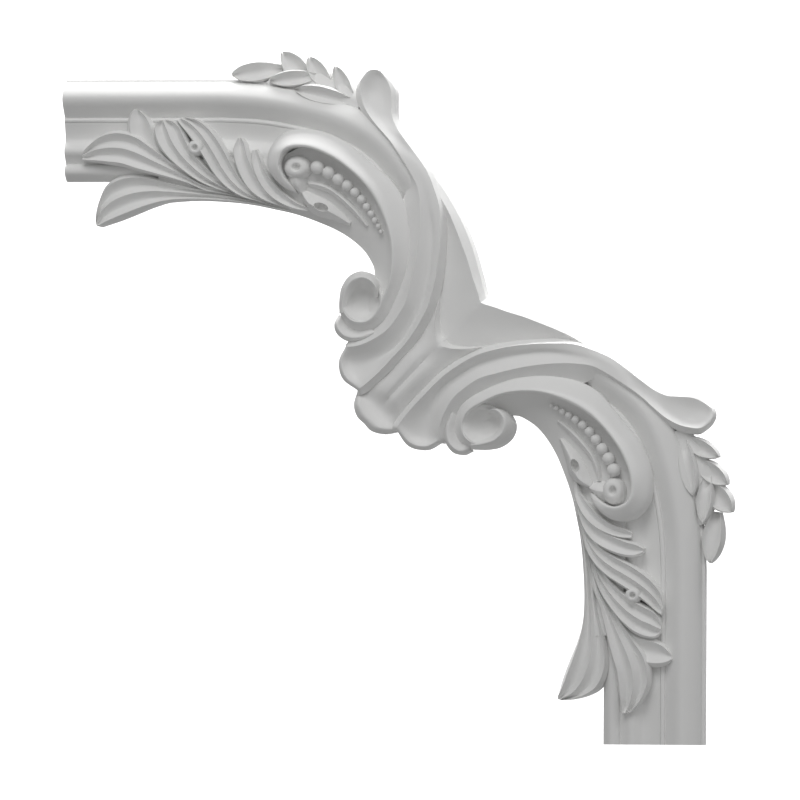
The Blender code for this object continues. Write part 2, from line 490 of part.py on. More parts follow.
def sweep(name, path, profile, foot, collection):
    """Moulding profile carried along a path by a bevelled curve."""
    outline = bpy.data.curves.new(name + " profile", "CURVE")
    outline.dimensions = "2D"
    section = outline.splines.new("POLY")
    front = [(across * MM, height * MM) for across, height in profile]
    corners = [(front[0][0], -foot)] + front + [(front[-1][0], -foot)]
    section.points.add(len(corners) - 1)
    for point, (across, height) in zip(section.points, corners):
        point.co = (across, height, 0, 1)
    section.use_cyclic_u = True
    outline_item = bpy.data.objects.new(name + " profile", outline)
    collection.objects.link(outline_item)

    line = bpy.data.curves.new(name + " path", "CURVE")
    line.dimensions = "2D"
    line.bevel_mode = "OBJECT"
    line.bevel_object = outline_item
    line.use_fill_caps = True
    track = line.splines.new("POLY")
    track.points.add(len(path) - 1)
    for point, (x, z) in zip(track.points, path):
        point.co = (x, z, 0, 1)
    line_item = bpy.data.objects.new(name + " path", line)
    collection.objects.link(line_item)

    bpy.context.view_layer.update()
    ready = line_item.evaluated_get(bpy.context.evaluated_depsgraph_get())
    mesh = bmesh.new()
    mesh.from_mesh(ready.to_mesh())
    ready.to_mesh_clear()
    bmesh.ops.remove_doubles(mesh, verts=mesh.verts, dist=1e-6)
    mesh.transform(Matrix.Rotation(math.radians(90), 4, "X"))
    return add_mesh(name, mesh, collection)


def moulding(collection):
    """Outer members from the sawn end to the stem, inner ones to the scroll."""
    curve = np.array(EDGE_PATH) * MM
    drop = ARM_OUTER - curve[0][1]
    path = [(x, z + drop * max(0, -x) / -curve[0][0]) for x, z in curve]
    long_path = [(-LOWER_REACH - 0.004, ARM_OUTER)] + path[:11]
    short_path = [(-LOWER_REACH - 0.005, ARM_OUTER)] + path[:7]
    outer = thinned(OUTER_PROFILE, PROFILE_SLACK)
    inner = thinned(INNER_PROFILE, PROFILE_SLACK)
    return [
        sweep("outer members", long_path, outer, 0.003, collection),
        sweep("inner members", short_path, inner, 0.0034, collection),
    ]


def carving(collection):
    """Every carved element of one half, as separate closed solids."""
    items = []
    elements = [
        ("scroll", between(SCROLL, SCROLL_ACROSS)),
        ("plate", PLATE),
        ("arch floor", between(ARCH, ARCH_ACROSS)),
        ("stem and fan", FAN),
        ("hub rim", RIM),
        ("hub middle", MIDDLE),
        ("first lobe", FIRST_LOBE),
        ("volute roll", VOLUTE_ROLL),
        ("teardrop", TEARDROP),
        ("bead seat", BEAD_SEAT),
        ("eye stalk", EYE_STALK),
        ("laurel stalk", LAUREL_STALK),
    ]
    for i, table in enumerate(LEAVES):
        elements.append((f"leaf {i + 1}", between(leaf_table(table), LEAF_ACROSS)))
    for i, (base, tip, width, height) in enumerate(LAUREL):
        rows = laurel_table(base, tip, width, height)
        elements.append((f"laurel leaf {i + 1}", between(rows, LAUREL_ACROSS)))
    for i, (name, sections) in enumerate(elements):
        grid = thinned(sections, SECTION_SLACK)
        items.append(relief(name, grid, FOOT + 0.00013 * i, collection))
    return items


def round_parts(collection):
    """Beads, scroll eye, drilled knob and volute dish."""
    items = []
    path = spline(BEAD_PATH, 8)
    lengths = np.concatenate([[0], np.cumsum(np.linalg.norm(np.diff(path, axis=0), axis=1))])
    for i in range(BEAD_COUNT):
        share = i / (BEAD_COUNT - 1)
        run = lengths[-1] * share * (1 + BEAD_CROWDING * (1 - share))
        place = [np.interp(run, lengths, path[:, k]) for k in (0, 1)]
        radius = (BEAD_LARGE + (BEAD_SMALL - BEAD_LARGE) * share) / 2
        top = (BEAD_TOP_LARGE + (BEAD_TOP_SMALL - BEAD_TOP_LARGE) * share) * RELIEF
        dome = [(radius * math.cos(a), top - radius + radius * math.sin(a)) for a in (0, 0.5, 1.05)]
        foot = -FOOT - 0.0001 * i
        profile = [(0, foot), (radius, foot)] + dome + [(0, top)]
        bead = turned(f"bead {i + 1}", place, profile, (1, 1), collection, BEAD_STEPS, 0.37 * i)
        items.append(bead)

    for name, place, width, height, hole, stretch in (
        ("scroll eye", EYE_PLACE, EYE_WIDTH, EYE_HEIGHT, EYE_HOLE, (1.05, 0.9)),
        ("leaf knob", KNOB_PLACE, KNOB_WIDTH, KNOB_HEIGHT, KNOB_HOLE, (1, 1)),
    ):
        ring = width / 2
        lip = hole / 2
        top = height * RELIEF
        profile = [
            (0, -FOOT), (ring, -FOOT), (ring, top - 0.45 * width), (0.86 * ring, top - 0.19 * width),
            ((ring + lip) / 2, top - 0.04 * width), (1.2 * lip, top), (0.6 * lip, top - 0.0028),
            (0, top - 0.003),
        ]
        items.append(turned(name, place, profile, stretch, collection))

    rim = VOLUTE_RIM * RELIEF
    hollow = VOLUTE_HOLLOW * RELIEF
    profile = [
        (0, -FOOT), (1, -FOOT), (1, rim - 0.003), (0.97, rim - 0.0008), (0.9, rim),
        (0.8, rim - 0.001), (0.6, hollow + 0.0016), (0.3, hollow), (0, hollow),
    ]
    stretch = (VOLUTE_WIDTH / 2, VOLUTE_LENGTH / 2)
    dish = turned("volute dish", VOLUTE_PLACE, profile, stretch, collection, tilt=VOLUTE_TILT)
    items.append(dish)
    return items


def drill(collection):
    """Oval cutter for the hole in the drilled leaf."""
    floor = DRILL_FLOOR * RELIEF
    profile = [(0, floor), (0.6, floor + 0.0006), (0.95, floor + 0.003), (1.05, 0.03), (0, 0.03)]
    stretch = (DRILL_LENGTH / 2, DRILL_WIDTH / 2)
    return turned("leaf drill", DRILL_PLACE, profile, stretch, collection, lean=0.35)


def matte_white():
    """Factory-primed white surface."""
    material = bpy.data.materials.new("primed_white")
    material.use_nodes = True
    shader = material.node_tree.nodes["Principled BSDF"]
    shader.inputs["Base Color"].default_value = (0.80, 0.80, 0.79, 1)
    shader.inputs["Roughness"].default_value = 0.6
    return material


def saw(item, name, centre, collection):
    """Cut an object flat with one side of a metre cube."""
    block = bmesh.new()
    bmesh.ops.create_cube(block, size=1.0)
    block.transform(Matrix.Translation(centre))
    cut = item.modifiers.new(name, "BOOLEAN")
    cut.operation = "DIFFERENCE"
    cut.solver = "EXACT"
    cut.object = add_mesh(name + " cutter", block, collection)


def build():
    for item in list(bpy.data.objects):
        bpy.data.objects.remove(item)
    parts = bpy.data.collections.new("moulding corner")
    tools = bpy.data.collections.new("cutters and carving")
    bpy.context.scene.collection.children.link(parts)
    bpy.context.scene.collection.children.link(tools)

    # The round parts go in between the scrollwork and the leaves
    carved = carving(tools)
    pieces = moulding(tools) + carved[:11] + round_parts(tools) + carved[11:]
    half = pieces[0].copy()
    half.data = pieces[0].data.copy()
    half.name = "half casting"
    tools.objects.link(half)

    for piece in pieces[1:]:
        join = half.modifiers.new("add " + piece.name, "BOOLEAN")
        join.operation = "UNION"
        join.solver = "MANIFOLD" if piece.name.startswith("bead ") else "EXACT"
        join.object = piece

    bore = half.modifiers.new("drilled leaf", "BOOLEAN")
    bore.operation = "DIFFERENCE"
    bore.solver = "EXACT"
    bore.object = drill(tools)

    saw(half, "flat back", (0, 0.5, 0), tools)
    saw(half, "sawn end", (-LOWER_REACH - 0.5, 0, 0), tools)

    plane = bpy.data.objects.new("mirror plane", None)
    plane.rotation_euler = (0, math.radians(45), 0)
    tools.objects.link(plane)
    mirror = half.modifiers.new("other half", "MIRROR")
    mirror.mirror_object = plane
    mirror.use_axis = (True, False, False)
    mirror.use_bisect_axis = (True, False, False)
    mirror.use_bisect_flip_axis = (True, False, False)
    mirror.merge_threshold = 0.00001

    # The left arm is shorter: its end face moves in along the plain moulding
    bpy.context.view_layer.update()
    graph = bpy.context.evaluated_depsgraph_get()
    whole = bmesh.new()
    whole.from_mesh(half.evaluated_get(graph).to_mesh())
    for vert in whole.verts:
        if vert.co.x < -LOWER_REACH + 0.001:
            vert.co.x = -LEFT_REACH
    casting = add_mesh("corner_casting", whole, parts)
    casting.data.materials.append(matte_white())

    for item in tools.objects:
        item.hide_render = True
        if item.type == "MESH":
            item.display_type = "WIRE"


build()
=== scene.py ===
"""Moulding corner piece: the carved casting in fine relief, in a plain studio.

Metres, Z up.  The back lies on the plane Y = 0 and the relief stands out
towards -Y.  The carving is the same on both sides of the plane X = Z, and the
arms differ in length.
"""
import math

import bmesh
import bpy
import numpy as np
from mathutils import Matrix, Vector


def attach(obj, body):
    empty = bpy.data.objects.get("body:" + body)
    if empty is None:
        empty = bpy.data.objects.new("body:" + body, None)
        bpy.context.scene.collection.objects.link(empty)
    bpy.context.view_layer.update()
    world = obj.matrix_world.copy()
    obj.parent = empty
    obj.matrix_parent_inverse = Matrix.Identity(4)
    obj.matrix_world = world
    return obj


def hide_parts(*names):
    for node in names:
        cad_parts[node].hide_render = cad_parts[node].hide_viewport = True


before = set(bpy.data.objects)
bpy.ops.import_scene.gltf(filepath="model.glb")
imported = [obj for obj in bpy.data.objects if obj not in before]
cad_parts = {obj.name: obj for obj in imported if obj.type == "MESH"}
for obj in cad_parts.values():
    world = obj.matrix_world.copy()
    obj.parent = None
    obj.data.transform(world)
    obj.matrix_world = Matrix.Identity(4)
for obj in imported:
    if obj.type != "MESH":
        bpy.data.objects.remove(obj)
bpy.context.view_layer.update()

MM = 0.001

# Moulding that runs through both arms
LEFT_REACH = 0.181
LOWER_REACH = 0.187
ARM_OUTER = 0.145
# Distance from the outer edge and height of the points of its profile
OUTER_PROFILE = [
    (0, 6.5), (1.3, 6.8), (1.7, 9.4), (2.5, 11.6), (4, 13.4), (6, 15), (8, 16.1), (9.6, 16.5),
    (11.2, 16.2), (13, 15.2), (14.6, 13.9), (19.2, 9.8), (19.5, 10.5), (20.4, 10.9), (21.2, 10.6),
    (21.7, 9.6), (28, 5),
]
INNER_PROFILE = [
    (15.5, 4), (20.8, 8), (21.6, 10.3), (26, 8.6), (28, 8), (30, 7.8), (31.5, 8.4), (33.2, 9.7),
    (34.8, 10.6), (36.2, 10.8), (37.6, 10.3), (39.2, 9), (42.2, 6.6), (43, 8.4), (44.4, 9.5),
    (45.8, 9.8), (47.2, 9.4), (48.8, 7.8), (51, 4.6),
]

# Carving
BEAD_COUNT = 11
BEAD_LARGE = 0.0068
BEAD_SMALL = 0.0021
BEAD_TOP_LARGE = 0.0195
BEAD_TOP_SMALL = 0.0155
BEAD_CROWDING = 0.38
EYE_PLACE = (-60.9, 100.4)
EYE_WIDTH = 0.0135
EYE_HEIGHT = 0.0195
EYE_HOLE = 0.0042
KNOB_PLACE = (-112.8, 110.4)
KNOB_WIDTH = 0.0084
KNOB_HEIGHT = 0.0186
KNOB_HOLE = 0.0030
DRILL_PLACE = (-48.6, 80.6)
DRILL_LENGTH = 0.0076
DRILL_WIDTH = 0.0042
DRILL_FLOOR = 0.0095
DRILL_LEAN = 0.35
VOLUTE_PLACE = (-28, 33.6)
VOLUTE_WIDTH = 0.0215
VOLUTE_LENGTH = 0.0225
VOLUTE_RIM = 0.0125
VOLUTE_HOLLOW = 0.0062
VOLUTE_TILT = (-0.12, -0.12)

# Fineness of the relief
ALONG_STEPS = 6
ACROSS_STEPS = 5
PATH_STEPS = 8
PROFILE_STEPS = 4
ROUND_STEPS = 56
FOOT = 0.004
# Edges that turn by more than this stay crisp
CREASE_ANGLE = math.radians(35)
# Profile corners sharper than this, in radians, aren't rounded off
CORNER_TURN = 0.75
# Points closer than this, in metres, are one
WELD = 1e-6
# How far the runs of moulding go past the saw cut
SAW_MARGIN = 0.004

# Outer edge of the moulding from the straight arm round to the mitre
EDGE_PATH = [
    (-100, 145), (-80, 143.9), (-60, 140.8), (-45, 137), (-30, 131.4), (-20, 126), (-12, 120),
    (-5.3, 113.2), (-0.3, 106.8), (5, 100), (10, 93.4), (15, 86), (20, 77.6), (25, 67),
    (28.8, 56.5), (32.3, 44), (34.4, 35), (36.8, 20),
]

# Scroll: outer edge, inner edge and five heights across, from the small
# scroll end, over the top and down to the volute
SCROLL = [
    ((-61.5, 87.5), (-62.8, 90.8), (10, 12, 13, 13, 11)),
    ((-65.5, 89), (-65, 93), (12, 15.5, 17, 17.5, 16)),
    ((-69.5, 91.8), (-67, 95.8), (12.5, 18, 19.5, 20, 18.5)),
    ((-73, 95.5), (-68.3, 98.6), (13, 19, 21, 22, 20.5)),
    ((-75.6, 100), (-68.8, 101.6), (13, 19.5, 21.8, 23, 21.5)),
    ((-76.3, 105), (-68.2, 104.5), (13.5, 19, 22, 23.5, 22.5)),
    ((-75, 110.3), (-66.8, 107.5), (14, 18.6, 22, 24, 23)),
    ((-71, 115.5), (-64.5, 109.4), (14, 18, 21.6, 24.2, 23.5)),
    ((-65.5, 118.8), (-61.5, 110.3), (14.5, 17.6, 21.2, 24.2, 23.8)),
    ((-57.5, 119.7), (-56.5, 110.4), (14.5, 17.4, 21, 24.2, 23.8)),
    ((-49.5, 118.8), (-51, 109.2), (14.5, 17.2, 20.8, 24, 23.6)),
    ((-42, 116), (-46, 107.2), (14.8, 17.2, 20.6, 23.8, 23.4)),
    ((-35, 112), (-40.5, 104.3), (15, 17.2, 20.6, 23.8, 23.2)),
    ((-28, 106), (-34.5, 100.1), (15.2, 17.2, 20.6, 23.6, 23)),
    ((-21, 100.3), (-28.5, 95), (15.4, 17.2, 20.6, 23.6, 23)),
    ((-12.8, 93.2), (-23, 88.8), (15.5, 17, 20.4, 23.4, 22.8)),
    ((-8.2, 86.5), (-19.3, 83), (15.5, 17, 20.2, 23.2, 22.6)),
    ((-5.4, 78.5), (-16.3, 77), (15.5, 16.9, 20, 23, 22.5)),
    ((-3.9, 69), (-13.6, 69.6), (15.5, 16.8, 19.8, 22.8, 22.3)),
    ((-3.4, 60), (-12, 61), (15.3, 16.6, 19.6, 22.4, 21.8)),
    ((-4.5, 50), (-12, 51.5), (15, 16.2, 19, 21.6, 21)),
    ((-7.5, 41), (-13.5, 42.8), (14.5, 15.6, 18, 20.2, 19.6)),
    ((-11.3, 33), (-16.8, 35), (14, 15, 16.8, 18.6, 18)),
    ((-14.4, 27), (-19, 30.6), (13, 14, 15.6, 17.2, 16.6)),
    ((-18.2, 21.8), (-21.8, 26.6), (10.5, 12, 14, 16, 15.4)),
    ((-23, 18.8), (-25.6, 24), (8.5, 10, 12.6, 15, 14.6)),
    ((-29.4, 18), (-30, 23.6), (8.2, 9.6, 12, 14.6, 14.2)),
    ((-35.6, 20.6), (-33.8, 25), (8.4, 9.8, 12, 14.4, 14)),
    ((-39.2, 26), (-36.6, 28.2), (8.6, 10, 12, 14.2, 13.8)),
    ((-40.2, 31), (-37.6, 31.6), (9, 10.4, 12.4, 14.4, 13.8)),
]
SCROLL_ACROSS = (0, 0.14, 0.52, 0.9, 1)

# Inside of the arch: silhouette edge, far edge and four heights across
ARCH = [
    ((-133.5, 83), (-132.5, 99.5), (4.5, 9, 10, 10)),
    ((-115, 84.3), (-112.5, 104.5), (4.5, 9.5, 11, 11)),
    ((-97, 83.5), (-93, 105.5), (4.5, 9.5, 11.5, 11.5)),
    ((-86, 82.2), (-80, 105.5), (4.5, 9.5, 11.5, 12)),
    ((-75, 80), (-68, 107), (4.5, 9.5, 11.8, 12.5)),
    ((-63.5, 77.4), (-57, 111.5), (4.5, 9.5, 12, 12.8)),
    ((-52.5, 73.6), (-44.5, 107.5), (4.5, 9.5, 12, 13)),
    ((-42.5, 69.3), (-31.5, 99), (4.5, 9.2, 11.8, 13.5)),
    ((-35, 64.7), (-20, 86.5), (4.5, 9, 11.8, 15)),
    ((-29, 59.5), (-14.5, 75.5), (4.5, 8.8, 12, 16.5)),
    ((-25.5, 54.5), (-11, 63), (4.5, 8.6, 12.2, 17.5)),
    ((-23.5, 50), (-10, 52), (4.5, 8.5, 12.5, 17.5)),
    ((-23.5, 42), (-10.5, 42), (5, 8, 11, 15)),
    ((-25.5, 33.5), (-14, 34.5), (6, 8, 10, 13)),
    ((-27.5, 27.5), (-17.5, 27), (6, 8, 9.5, 11)),
]
ARCH_ACROSS = (0, 0.3, 0.62, 1)

# Plate behind the carving: inner edge and outer edge
PLATE = [
    ((-136, 87.5, 5), (-136.5, 140.5, 5)), ((-97, 86.5, 5), (-94.5, 140.5, 5)),
    ((-75, 83.5, 5), (-72.5, 138.5, 5)), ((-52, 77, 5), (-48, 132.5, 5)),
    ((-35.5, 68, 5), (-25.5, 122.5, 5)), ((-25.5, 59.5, 5), (-7.5, 108.5, 5)),
    ((-20.5, 51.5, 5), (10, 87.5, 5)), ((-24, 41.5, 5), (22.5, 65.5, 5)),
    ((-34, 31.5, 5), (29.5, 47.5, 5)), ((-36, 18.5, 5), (31.5, 33.5, 5)),
    ((-35, 3.5, 5), (27.5, 21.5, 5)), ((-29, -12.5, 5), (17.5, 7.5, 5)),
    ((-26, -24.5, 5), (3.5, -6.5, 5)),
]

# Flower stem from its dished end down into the fan of the hub, where it
# splits into two ribs with a groove between; each row is a section from left
# to right
FAN = [
    ((-29, 146.4, 8), (-27, 148, 12), (-24.6, 149.2, 12.4), (-21.8, 149.4, 12),
     (-19.6, 148.6, 11), (-17.6, 147, 8)),
    ((-32.2, 141.8, 8.5), (-29.6, 143, 13.6), (-26, 145, 11.4), (-21, 145.6, 9.4),
     (-16.8, 144.4, 9.8), (-14.8, 143.4, 8.5)),
    ((-32.4, 137.6, 9.5), (-29.2, 137.8, 14.2), (-25.4, 138.4, 9.6), (-20, 138.9, 8.6),
     (-14.6, 139.5, 10.2), (-12.4, 139, 8.5)),
    ((-31, 132, 10.5), (-27.6, 132, 15), (-23.4, 132.2, 11), (-18.4, 132.3, 10),
     (-13.9, 132.4, 11), (-12.2, 132, 9)),
    ((-27.6, 126.3, 12), (-24.4, 126.3, 16), (-20.6, 126.2, 13), (-16.8, 126.2, 12.2),
     (-13.4, 126.2, 12.4), (-11.9, 126, 10)),
    ((-22.4, 120.4, 13), (-19.5, 120.3, 16.8), (-16, 120.1, 15), (-13.4, 120.1, 14.4),
     (-10.8, 120.4, 14), (-9.3, 120.7, 11)),
    ((-16.4, 114, 13.5), (-13.5, 113.7, 17.8), (-10.8, 113.7, 16.4), (-8.6, 113.9, 15.8),
     (-6.4, 114.3, 16), (-4.9, 114.7, 12)),
    ((-11, 106.4, 14), (-8.1, 106, 18.6), (-5.2, 106.1, 18), (-2.8, 106.3, 17.4),
     (-0.4, 106.6, 16.8), (1, 106.9, 12.5)),
    ((-6, 98.7, 14.5), (-3.1, 98.1, 19), (0, 98.1, 18.6), (2.6, 98.3, 18.2),
     (5.2, 98.6, 17.4), (6.8, 98.8, 13)),
    ((-5, 91.5, 14), (1, 90, 19.3), (4, 89.8, 18.6), (6.4, 89.9, 18.4),
     (8.9, 90, 17.8), (10.7, 90.2, 13)),
    ((-8.2, 81.2, 13.4), (2.4, 80, 19.7), (6, 79.7, 17.9), (8.6, 79.7, 18.4),
     (12, 80, 18.4), (14.2, 80.4, 13)),
    ((-7, 70.4, 13.3), (2.3, 70, 19.8), (7.6, 69.4, 16.6), (9.8, 69.4, 18),
     (12.3, 69.8, 18.8), (15, 70.2, 12.5)),
    ((-6.6, 60.2, 13.2), (1.3, 60, 19.8), (7.5, 59.2, 16.2), (9.6, 59.2, 17.8),
     (12, 59.6, 19), (14.6, 60, 12.5)),
    ((-7.6, 50.8, 13), (-0.5, 50, 19.6), (6.3, 49, 15.6), (8.6, 49, 17.6),
     (11, 49.6, 19), (13.8, 50, 12.5)),
    ((-10.2, 43, 12.8), (-2.7, 41, 19.2), (4.6, 40, 14.8), (6.9, 40.2, 17.2),
     (9.3, 40.8, 18.9), (12.5, 41.2, 12.5)),
    ((-13, 36.4, 12.4), (-4.9, 33, 18.6), (1.6, 30.8, 13.8), (4.2, 31.2, 16.4),
     (6.6, 31.6, 18.4), (9.8, 31.2, 12)),
    ((-16.6, 29.4, 11.2), (-9.2, 25.8, 17.6), (-3, 22, 12.4), (-0.6, 22, 15.4),
     (1.7, 22.2, 17.6), (5, 21.4, 11.6)),
    ((-20.4, 23.8, 9.4), (-15.2, 18.8, 16.4), (-9, 13.2, 10.8), (-6.8, 13, 13.8),
     (-4.6, 13.2, 16.4), (-1.6, 11.6, 11)),
    ((-26, 17.8, 8.4), (-23.4, 13.8, 14.8), (-17.6, 7.4, 9), (-15, 6, 11.8),
     (-12.4, 5, 15), (-9.6, 2.8, 10)),
    ((-31.8, 15.2, 8), (-30, 11.4, 13.2), (-26.6, 5, 7.4), (-24, 1, 8.8),
     (-19.6, -2.2, 13.6), (-17.6, -4.6, 9)),
    ((-35.6, 14, 7.4), (-34.4, 10.9, 12), (-35.6, 4.4, 7), (-33.4, -1.6, 7.4),
     (-26.4, -8, 12.4), (-25, -10.8, 8)),
    ((-36.8, 12.6, 7), (-36, 11, 11.4), (-38.8, 4, 10.6), (-37, -3.4, 10.6),
     (-29.6, -10.2, 11.6), (-28.6, -12.8, 9)),
    ((-37.4, 12.4, 6), (-37, 11, 9), (-40.6, 3.6, 8), (-38.8, -4.8, 8),
     (-30.8, -10.9, 9), (-31.6, -13.4, 7)),
]

# Smooth rim between the ribs and the outer edge, up to the mitre
RIM = [
    ((-8, 101, 9), (-6, 102, 11), (-4, 103, 13), (-2, 104.5, 14), (0.5, 106, 11.8)),
    ((-1, 91, 9), (1, 92.5, 11), (3, 94, 13.4), (5, 95.6, 14.8), (7.2, 97.2, 11.8)),
    ((6, 83.5, 9), (8, 84.5, 11.5), (9.3, 85.4, 13.6), (11, 86.6, 15), (13.5, 88.4, 11.8)),
    ((10.8, 76, 9), (12.8, 76.8, 12), (14, 77.5, 13.6), (15.8, 78.5, 15.4), (18.6, 80, 11.8)),
    ((12, 69, 9), (14.6, 69.4, 12), (17, 70, 13.8), (19.4, 70.6, 15.6), (22.8, 72, 11.8)),
    ((11.6, 60, 9), (14.4, 60.4, 11.6), (18.6, 61, 13.6), (22.8, 62, 15.6), (26.6, 63, 11.8)),
    ((11, 51, 9), (13.8, 51.4, 11.2), (20, 53, 13.4), (25.8, 54, 15.6), (29.4, 54.5, 11.8)),
    ((9.6, 42, 8.5), (12.4, 42.4, 10.8), (20.6, 44.5, 13.2), (28.4, 45.5, 15.6), (31.9, 45.5, 11.8)),
    ((8.8, 34, 8), (11.6, 34, 10.6), (21.6, 36.6, 13), (31, 38, 15.6), (34, 37.5, 11.8)),
    ((9.4, 25, 8), (11.8, 25, 10.5), (22, 28, 12.8), (32.6, 31, 15.6), (36.4, 31, 11.8)),
    ((10, 16, 8), (12.4, 16, 10.5), (22, 20, 12.4), (33, 24, 15), (37.5, 24, 11.8)),
    ((11.5, 9, 8), (13, 9, 10.5), (22, 12, 12.4), (33, 16, 15), (38, 16, 11.8)),
]

# Middle of the hub: crease, low ridge and the crease on the mirror plane
MIDDLE = [
    ((9.2, 38.5, 7), (11.2, 38.5, 10.4), (11.5, 38.4, 10.6), (11.8, 38.3, 10.6), (12.2, 38.3, 8)),
    ((7.4, 33, 7), (10, 33, 11), (10.4, 32.9, 12.4), (10.8, 32.9, 12.8), (12, 33, 8)),
    ((3.4, 25.6, 7), (6.4, 25.5, 11), (8, 25.4, 13), (9.6, 25.3, 15), (11.6, 25.4, 8)),
    ((-0.8, 18, 6.8), (2, 18, 10.6), (5.8, 18, 13.4), (9.8, 17.8, 16), (12.6, 18, 8)),
    ((-5, 11.8, 6.4), (-2.4, 12.2, 10), (3.6, 12.6, 13.8), (10.6, 12.4, 16.6), (14, 12, 15.6)),
    ((-11.2, 3.6, 6), (-9.4, 4.6, 9.6), (-0.5, 5, 15), (5, 4, 13.2), (7, -1.5, 15.5)),
    ((-18, -3, 5.5), (-16, -3, 8.6), (-8.2, -4.4, 13.8), (-5.5, -6, 11.2), (-3.3, -9, 13.6)),
    ((-24.4, -8.4, 5), (-22.8, -8.2, 7.4), (-15.8, -12, 11.6), (-15, -15, 9), (-11.8, -16, 11.4)),
    ((-28.4, -11.4, 5), (-27.2, -13.6, 6.6), (-22.6, -17.2, 6.6), (-20.4, -20, 6.4),
     (-17.6, -22.2, 6.6)),
    ((-30.2, -11.4, 5.4), (-30, -17.4, 11.4), (-27.9, -22, 11.4), (-24.9, -25.2, 11.4),
     (-21.7, -28.3, 11.4)),
    ((-31.6, -11.3, 5), (-32.7, -18.2, 8.6), (-31, -24, 8.6), (-27.5, -27.4, 8.6), (-24, -30.8, 8.6)),
]

# First lobe: a thin crescent under the volute
FIRST_LOBE = [
    ((-22.5, 15.5, 9), (-22, 18, 12.4), (-24, 20.5, 10), (-26, 23.5, 8)),
    ((-30.5, 13.5, 9), (-30, 15.5, 12.4), (-31, 18.5, 9.6), (-31, 22.5, 8)),
    ((-37, 14, 8.6), (-36.5, 16.2, 12.2), (-35.5, 20, 9.4), (-33, 23.5, 8)),
    ((-42, 18, 8.4), (-40.3, 19.8, 11.8), (-38, 22, 9.4), (-34.5, 25, 8)),
    ((-43, 22.5, 8), (-41.2, 22.8, 11), (-38.5, 24.5, 9.4), (-35.5, 26.5, 8)),
    ((-41, 27, 7), (-39.8, 26.2, 9), (-38, 26.5, 9), (-35.5, 28.5, 8)),
]

# Roll round the top of the volute dish
VOLUTE_ROLL = [
    ((-40.3, 27.6, 9), (-38.4, 27.6, 13.6), (-36.8, 28.2, 13.4)),
    ((-40.4, 34, 9), (-37.6, 34, 15.4), (-35.4, 34, 13)),
    ((-39, 41, 9.5), (-35.8, 39.8, 16.6), (-33.6, 38.4, 13)),
    ((-34.8, 46.6, 10), (-32, 44, 17.4), (-30.6, 41.6, 13)),
    ((-28.8, 48.7, 10.5), (-27, 45.4, 17.8), (-26.8, 42.4, 13.2)),
    ((-23.4, 46.8, 11), (-22.8, 43.6, 17.6), (-24.2, 41.2, 13)),
    ((-20, 42.2, 11), (-20.4, 40.2, 16.4), (-22.6, 38.8, 12.6)),
    ((-20.4, 36, 10), (-20.8, 35.6, 13), (-21.8, 35.4, 11.6)),
]

# Leaf with a drilled eye below the beads
TEARDROP = [
    ((-59.6, 89.4, 10), (-59.4, 88.4, 12), (-59.2, 87.4, 9.5)),
    ((-57, 89, 11), (-57.6, 86, 15), (-58.6, 83.6, 9)),
    ((-53.4, 87.4, 11.5), (-54.6, 82.4, 16.6), (-56, 79.4, 8.5)),
    ((-48.8, 85.4, 11.5), (-50.4, 80.4, 16.8), (-51.4, 76.2, 8)),
    ((-44, 82.6, 11.2), (-45.6, 78.8, 15.6), (-46.2, 75, 7.8)),
    ((-39.4, 78.6, 10.4), (-40.6, 76, 13), (-41.4, 73.4, 7.6)),
    ((-34.4, 73.6, 9), (-35, 72.4, 10.4), (-35.4, 71.2, 7)),
]

# Rail under the beads
BEAD_SEAT = [
    ((-56.6, 94.6, 9), (-56, 92.6, 13), (-56.4, 90.4, 9)),
    ((-50, 94.2, 10), (-50.4, 91.6, 14.6), (-51.4, 89.2, 9)),
    ((-43.6, 91.6, 10), (-44.2, 89.2, 14.8), (-45.6, 86.8, 9)),
    ((-36.6, 86.2, 10), (-37.4, 84, 14.6), (-39.2, 82, 9)),
    ((-30.4, 79.8, 10), (-31.4, 78, 13.6), (-33.2, 76.4, 9)),
    ((-25, 72.4, 9), (-26, 71.2, 12), (-27.6, 70.2, 8)),
]

# Web from the scroll eye down to the end of the scroll and the drilled leaf
EYE_STALK = [
    ((-66.5, 99, 12), (-61.6, 99, 17.4), (-56.6, 99, 11.5)),
    ((-66, 92.6, 12), (-61, 92.4, 16.8), (-55.8, 93, 11)),
    ((-61.8, 88.4, 10), (-59.6, 87.8, 13.4), (-57.2, 87.6, 9.5)),
]

# Beads, large to small: place on the wall
BEAD_PATH = [
    (-50.6, 100.4), (-44.6, 97.6), (-39.4, 94), (-34.6, 90.6), (-30.8, 87.2), (-27.6, 83.6),
    (-25.1, 80), (-23.1, 76.8), (-21.3, 73.6), (-19.6, 70.6), (-18.4, 68.2),
]

